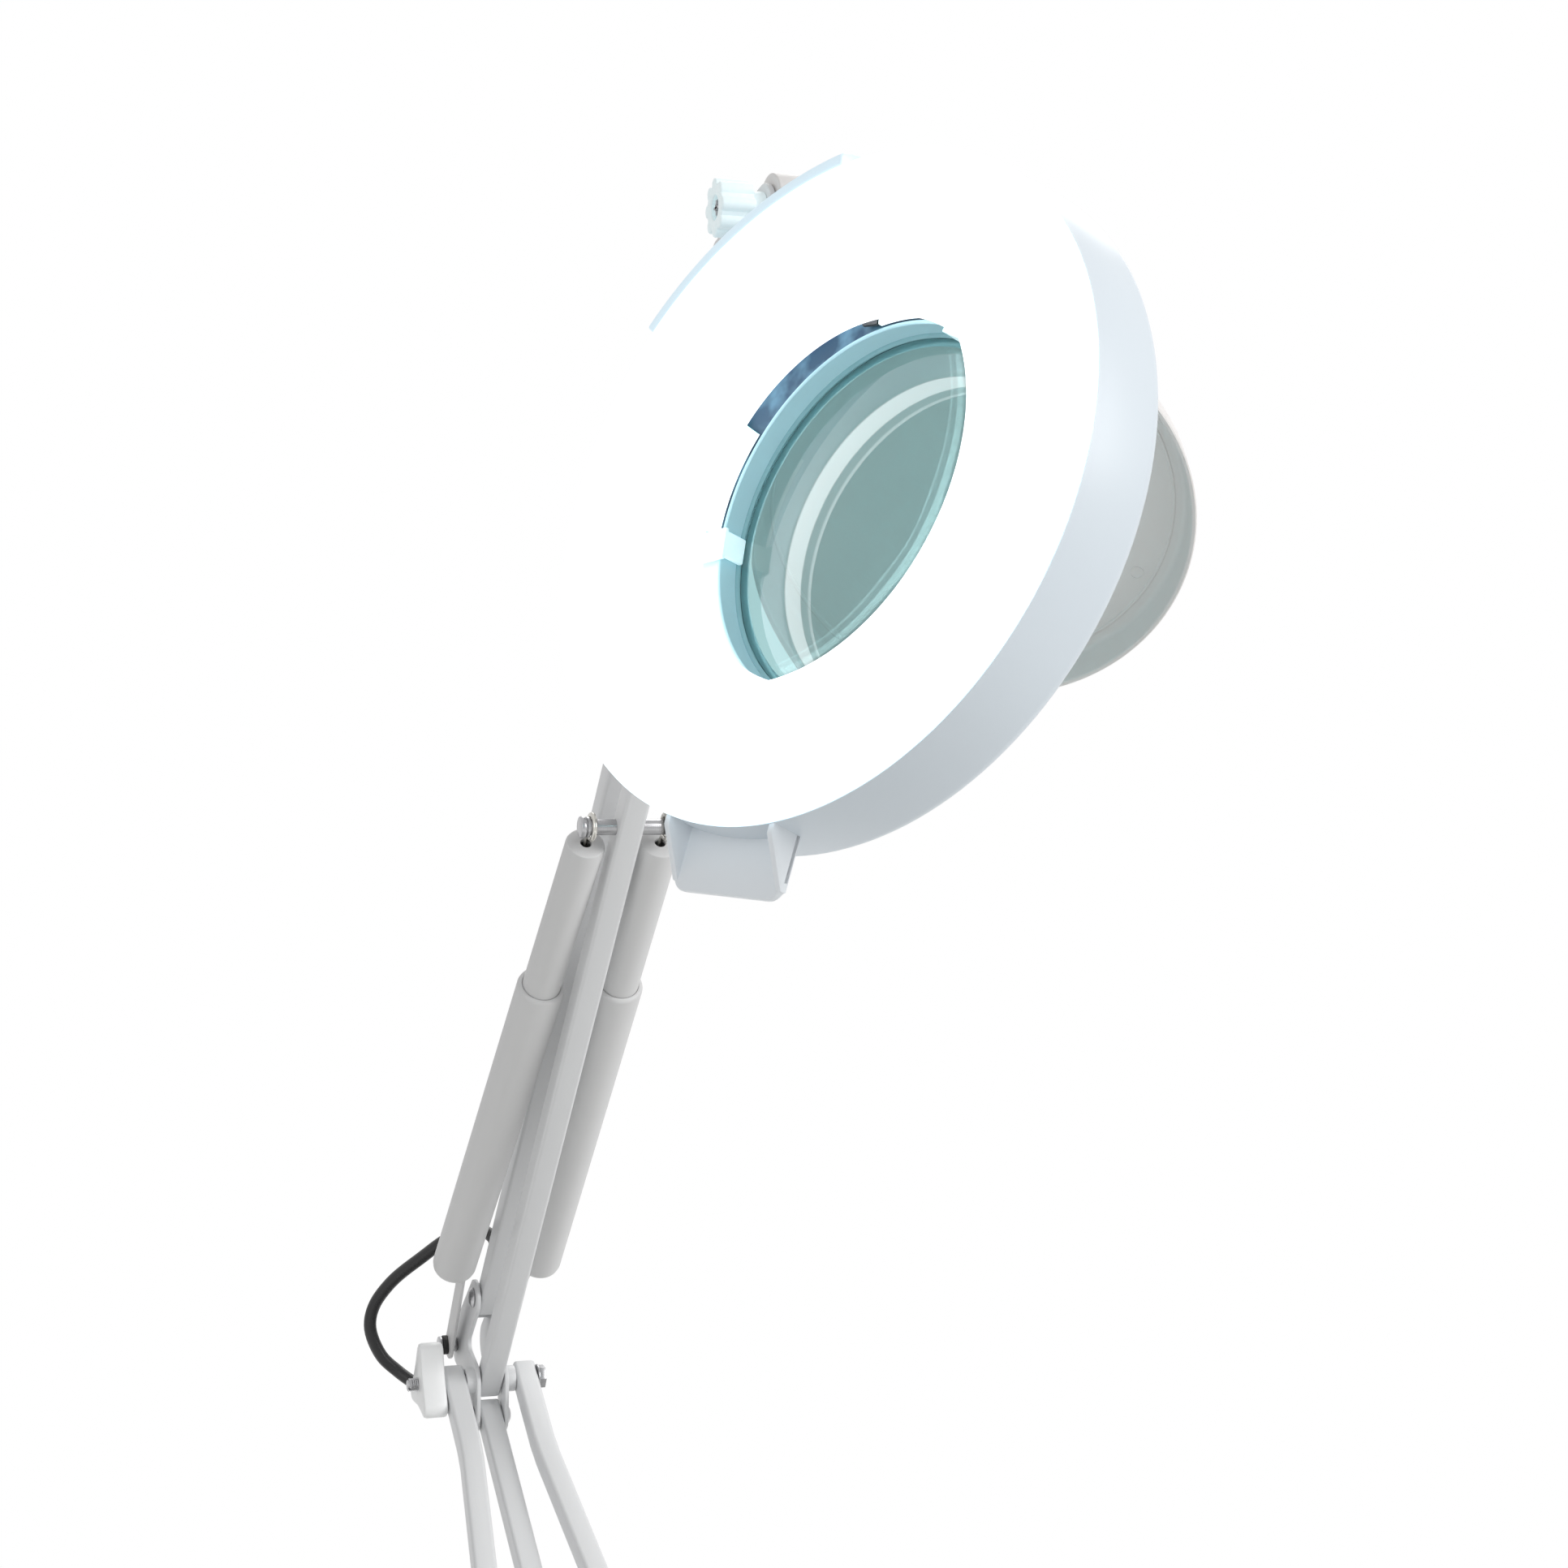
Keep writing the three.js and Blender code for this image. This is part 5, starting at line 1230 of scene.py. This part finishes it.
def switch():
    """The rocker switch in its frame, and the gland that the cord enters."""
    angle = -30
    place = HEAD @ Matrix.Translation(on_head(94, angle, -WALL_DEPTH)) @ turn("Z", angle)
    bezel = block(24, 17, 1.4, 0, 0, -1)
    rear = min(bezel.faces, key=lambda face: face.calc_center_median().z)
    bmesh.ops.inset_region(bezel, faces=[rear], thickness=2.7)
    bmesh.ops.translate(bezel, vec=(0, 0, 1.2), verts=list(rear.verts))
    make("switch_bezel", soften(bezel, 0.35, 2, 60), black_plastic, "head", place, "switch_body")
    rocker = plate([(-4.9, 1.2), (4.9, 1.2), (4.9, -2.6), (0, -1.7), (-4.9, -0.8)], 17.4)
    placed(rocker, move(-8.7, 0, 0) @ IN_YZ)
    soften(rocker, 0.35, 2, 20)
    dots = [block(7, 0.5, 0.35, 0, 2.4 + step, -2.2 - 0.12 * step, 0.12) for step in (-0.6, 0.4, 1.4)]
    make("rocker", joined(rocker, *dots), black_plastic, "switch_rocker", place, "switch_rocker")
    gland = turned([(5.9, 6.8), (5.1, 6.2), (5.3, 4.6), (4.7, 4.2), (4.9, 2.6), (4.3, 2.2), (4.2, 0.8),
                    (3.7, 0), (2.8, 0), (2.8, 10), (5.6, 10), (6, 9.4), (6, 8)], 48, True)
    make("cord_gland", soften(gland, 0.15, 2, 50), black_plastic, "head",
         HEAD @ move(-18, 98, -WALL_DEPTH - 10.3), "head_gland")


# ---- ring light -------------------------------------------------------------------------------------


def opal_ring():
    """The glowing front: a low dome with a skirt that runs back round the opening."""
    opal = turned([
        (113, -2.7), (113, -1.2), (112.75, -0.5), (112.1, 0), (102, 1.65), (92, 3.1), (80, 4.25),
        (71.5, 4.95), (70.4, CROWN), (69.75, 4.7), (APERTURE, 4.1), SKIRT, (SKIRT[0] + 1.8, SKIRT[1]),
        (71.3, 2.8), (92, 0.9), (110.6, -2.7)], 160, True)
    make("opal_ring", opal, diffuser_glow, "head", HEAD, "diffuser", 50)


def lamp_board():
    """The round board, the two tongues that reach towards the lens tube, and a strip of tape."""
    inner, outer = 78, 108
    back = BOARD_FACE - BOARD
    board = ring(inner, outer, back, BOARD_FACE, 96, 288.0, 90 + 27)
    for face in board.faces:
        face.material_index = 1 if abs(face.normal.z) < 0.5 else 0
    # The board glows faintly and its end faces glow teal: painted light.
    make("lamp_board", board, [board_painted_glow, board_edge_painted_glow], "head", HEAD, "led_board")
    tongues = joined(*[ring(65.8, inner + 0.4, back, BOARD_FACE, 20, sweep, start)
                       for start, sweep in ((118, 31), (39, 27))])
    for face in tongues.faces:
        outward = face.calc_center_median().normalized()
        end_face = abs(face.normal.z) < 0.5 and abs(face.normal.dot(outward)) < 0.4
        face.material_index = 1 if end_face else 0
    # The tongues glow faintly and their end faces glow teal: painted light.
    make("board_tongues", tongues, [board_painted_glow, board_edge_painted_glow], "head", HEAD)
    place = HEAD @ Matrix.Translation(on_head(71, -21, BOARD_FACE - 1)) @ turn("Z", -35)
    make("wire_tape", block(7, 8, 1.6, edge=0.4), black_plastic, "head", place)


def lamps():
    """Two rows of small lamps on the board."""
    packages, windows = [], []
    for radius, count, shift in ((87, 40, 0), (98, 46, 0.5)):
        for number in range(count):
            angle = 32 + 284 * (number + shift) / count
            spot = Matrix.Translation(on_head(radius, angle, BOARD_FACE + 0.45)) @ turn("Z", angle)
            packages.append(placed(block(3.5, 2.8, 0.9), spot))
            windows.append(placed(round_bar(1.05, 0.44, 0.56, 12), spot))
    # The packages glow faintly: painted light.
    make("lamp_packages", joined(*packages), board_painted_glow, "head", HEAD)
    make("lamp_windows", joined(*windows), lamp_window, "head", HEAD)


def lamp_supply():
    """The supply in its shrunk sleeve, and the tray on the floor of the head; the dark blue of both is
    painted shade.
    """
    place = HEAD @ Matrix.Translation(on_head(93, -4, 7 - WALL_DEPTH)) @ turn("Z", -4)
    length = 44
    case = block(length, 22, 9)
    bmesh.ops.subdivide_edges(case, edges=list(case.edges), cuts=5, use_grid_fill=True)
    for vert in case.verts:
        if vert.co.z > 0:
            vert.co.z -= 0.5 * (abs(vert.co.x) / (length / 2)) ** 2
    # The sleeve's dark blue is painted shade.
    make("driver_case", soften(case, 1.6, 4, 60), driver_painted_shade, "head", place, "lamp_driver")
    floor = 2.4 - WALL_DEPTH
    # A sheet in dark blue: painted shade on the floor of the head.
    tray = ring(66.2, 83, floor, floor + 0.7, 60, 124.0, 28)
    make("painted_shade_tray", tray, painted_shade_blue, "head", HEAD)


def lamp_wires():
    """Thin wires that wander from the supply to the board."""
    steps = 8
    runs = ((15, 33, 84), (16, 34, 88), (-24, -48, 90), (-22, -47, 86))
    for number, (start, end, middle) in enumerate(runs):
        points = []
        for step in range(steps + 1):
            part = step / steps
            radius = middle + 2.5 * sin(part * 5 + number)
            height = BOARD_FACE + 1 + 2.4 * sin(pi * part) - 0.6 * part
            points.append(on_head(radius, start + (end - start) * part, height))
        route = [(HEAD @ point) * MM for point in smooth_route(points, 4)]
        wire(f"lamp_wire_{number + 1}", route, 0.75 * MM, wire_white, "head")


# ---- lens and its cover -----------------------------------------------------------------------------


def lens():
    """A thick lens, domed on both faces, on its seat in the tube."""
    front = LENS_SEAT + LENS_EDGE
    bowl = 60
    rows = 24
    dome = [(bowl * sqrt(k / rows), LENS_BULGE * (1 - k / rows)) for k in range(rows + 1)]
    back = [(radius, LENS_SEAT - rise) for radius, rise in dome]
    face = [(radius, front + rise) for radius, rise in reversed(dome)]
    edge = [(LENS - 0.4, LENS_SEAT), (LENS, LENS_SEAT + 0.4), (LENS, front - 0.4), (LENS - 0.4, front)]
    make("lens_glass", turned(back + edge + face, 128), lens_glass, "head", HEAD, "lens", 25)


def lens_clips():
    """Three clips that hold the lens, each a strip with a finger, and their screws."""
    level = COLLAR_FACE + 0.3
    tip = LENS_SEAT + LENS_EDGE + 0.3
    for number, angle in enumerate(CLIP_ANGLES):
        place = HEAD @ turn("Z", angle)
        strip = block(11, 15.4, 1.5, 0, 69, level + 0.75, 0.4)
        finger = block(9, 2, level + 1 - tip, 0, 62.3, (level + 1 + tip) / 2, 0.5)
        # The clips and their screws glow faintly: painted light.
        make(f"clip_{number + 1}", joined(strip, finger), clip_painted_glow, "head", place,
             f"lens_clip_{number + 1}")
        cap = turned([(0, 1.3), (3, 1.3), (3, 2.1), (2.5, 2.9), (1.4, 3.2), (1.1, 2.7), (0, 2.7)], 32)
        make(f"clip_screw_{number + 1}", cap, clip_painted_glow, "head", place @ move(0, CLIP_POST, level))


def lens_cover():
    """The dished cover with a ridge, four round marks and its hinge, and the hinge's pin."""
    rim = -WALL_DEPTH - 1 - HINGE_Z
    back = rim - COVER_DEPTH
    inside = back + 1.8
    dish = turned([
        (0, back), (52, back), (52.4, back - 0.25), (53, back - 0.25), (53.4, back), (64.5, back),
        (66, back + 0.2), (67.6, back + 0.9), (68.6, back + 2), (69, back + 3), (71, rim - 0.5), (70.6, rim),
        (69.7, rim), (69.3, rim - 0.4), (67.3, back + 3.6), (66.8, back + 2.6), (65.9, back + 2),
        (65.2, inside), (63.2, inside), (62.9, back + 2.2), (62.3, back + 2.2), (62, inside),
        (0, inside)], 144)
    placed(dish, move(0, -HINGE_Y, 0))
    marks = []
    for angle in (20, 110, 200, 290):
        x, y = 57 * cos(radians(angle)), 57 * sin(radians(angle))
        mark = turned([(1.9, back + 1.7), (2.5, back + 1.7), (2.45, back + 2.05), (1.95, back + 2.05)], 28,
                      True)
        marks.append(placed(mark, move(x, y - HINGE_Y, 0)))
    barrel = placed(soften(ring(1.9, 3, -10.5, 10.5), 0.25, 2, 60), ALONG_X)
    arm = block(21, 7, 2.4, 0, -4, -1, 0.5)
    make("cover_dish", joined(dish, arm, barrel, *marks), cover_plastic, "lens_cover", LENS_COVER,
         "lens_cover", 30)
    make("hinge_pin", pin([(-14.5, 1.5), (14.5, 1.5)], 0.4), steel, "head", HEAD @ move(0, HINGE_Y, HINGE_Z),
         "cover_pin")


# ---- table top, floor and lamps ---------------------------------------------------------------------


def stage_finish(name, colour, fade=None):
    """Pale matt surface; with a fade, it turns to the white background between two distances."""
    material, work, surface = new_finish(name)
    cloud = work.span(work.noise(3.0, 4.0), 0.3, 0.7)
    work.feed(surface["Base Color"], work.blend(cloud, colour, dimmed(colour, 0.97)))
    surface["Roughness"].default_value = 0.7
    surface["Specular IOR Level"].default_value = 0.2
    if fade:
        distance = work.vector_math("LENGTH", work.node("TexCoord").outputs["Object"])["Value"]
        path = work.node("LightPath").outputs
        seen = work.math("MAXIMUM", path["Is Camera Ray"], path["Is Glossy Ray"])
        surface["Emission Color"].default_value = (1, 1, 1, 1)
        work.feed(surface["Emission Strength"], work.math("MULTIPLY", work.span(distance, *fade), seen))
    return material


def stage():
    top = placed(block(900, 640, 31.6, 0, 22.4 - 320, -15.85, 1.5, 3), Matrix.Scale(MM, 4))
    laminate = stage_finish("table_laminate", linear(238, 238, 236))
    new_piece("table_top", top, [laminate])
    ground = bmesh.new()
    bmesh.ops.create_circle(ground, cap_ends=True, segments=64, radius=2.6, matrix=move(0, 0, -0.74))
    paint = stage_finish("floor_paint", linear(240, 240, 239), (1.0, 2.3))
    new_piece("floor", ground, [paint])


def softbox(name, place, size, power):
    """A square studio light that faces the middle of the magnifying lamp."""
    light = bpy.data.lights.new(name, "AREA")
    light.shape = "SQUARE"
    light.size = size
    light.energy = power
    lamp = bpy.data.objects.new(name, light)
    lamp.location = place
    lamp.rotation_euler = (Vector((0, 0.1, 0.6)) - Vector(place)).to_track_quat("-Z", "Y").to_euler()
    scene.collection.objects.link(lamp)


def studio():
    softbox("key_softbox", (2.0, -1.5, 1.7), 1.5, 42)
    softbox("fill_softbox", (-1.7, -1.7, 1.3), 1.5, 9)
    softbox("back_softbox", (0.9, 1.7, 2.1), 1.2, 14)
    world = bpy.data.worlds.new("studio")
    scene.world = world
    world.use_nodes = True
    work = Shading(world.node_tree)
    ground = world.node_tree.nodes["Background"].inputs
    path = work.node("LightPath").outputs
    seen = work.math("MAXIMUM", path["Is Camera Ray"], path["Is Glossy Ray"])
    seen = work.math("MAXIMUM", seen, path["Is Transmission Ray"])
    ground["Color"].default_value = (1, 1, 1, 1)
    work.feed(ground["Strength"], work.span(seen, 0, 1, 0.5, 1.0))


cord_loop("elbow_loop", elbow_points, ELBOW, CORD, "elbow", "elbow_cord")
cord_loop("head_loop", head_points, TILT, HEAD_CORD, "head_hanger", "head_cord")
lead()
clamp_jaws()
clamp_screw()
turret()
lower_arm()
upper_arm()
elbow_yoke()
spring_pins()
elbow_knob()
springs("upper", UPPER_COVERS, ELBOW + Vector((0, *UPPER_FOOT)), UPPER_ARM @ Vector((0, 0, ROD_UP)),
        22.9, 16, (11, 5))
springs("lower", LOWER_COVERS, BASE + Vector((0, *LOWER_FOOT)),
        LOWER_ARM @ Vector((0, 0, ROD_DOWN - LOWER_LENGTH)), 15.5, 16)
head_bracket()
star_knob()
swivel()
head_shell()
neck_fan()
finger_scoop()
hinge_lugs()
lens_tube()
clip_posts()
back_screws()
switch()
opal_ring()
lamp_board()
lamps()
lamp_supply()
lamp_wires()
lens()
lens_clips()
lens_cover()
stage()
studio()
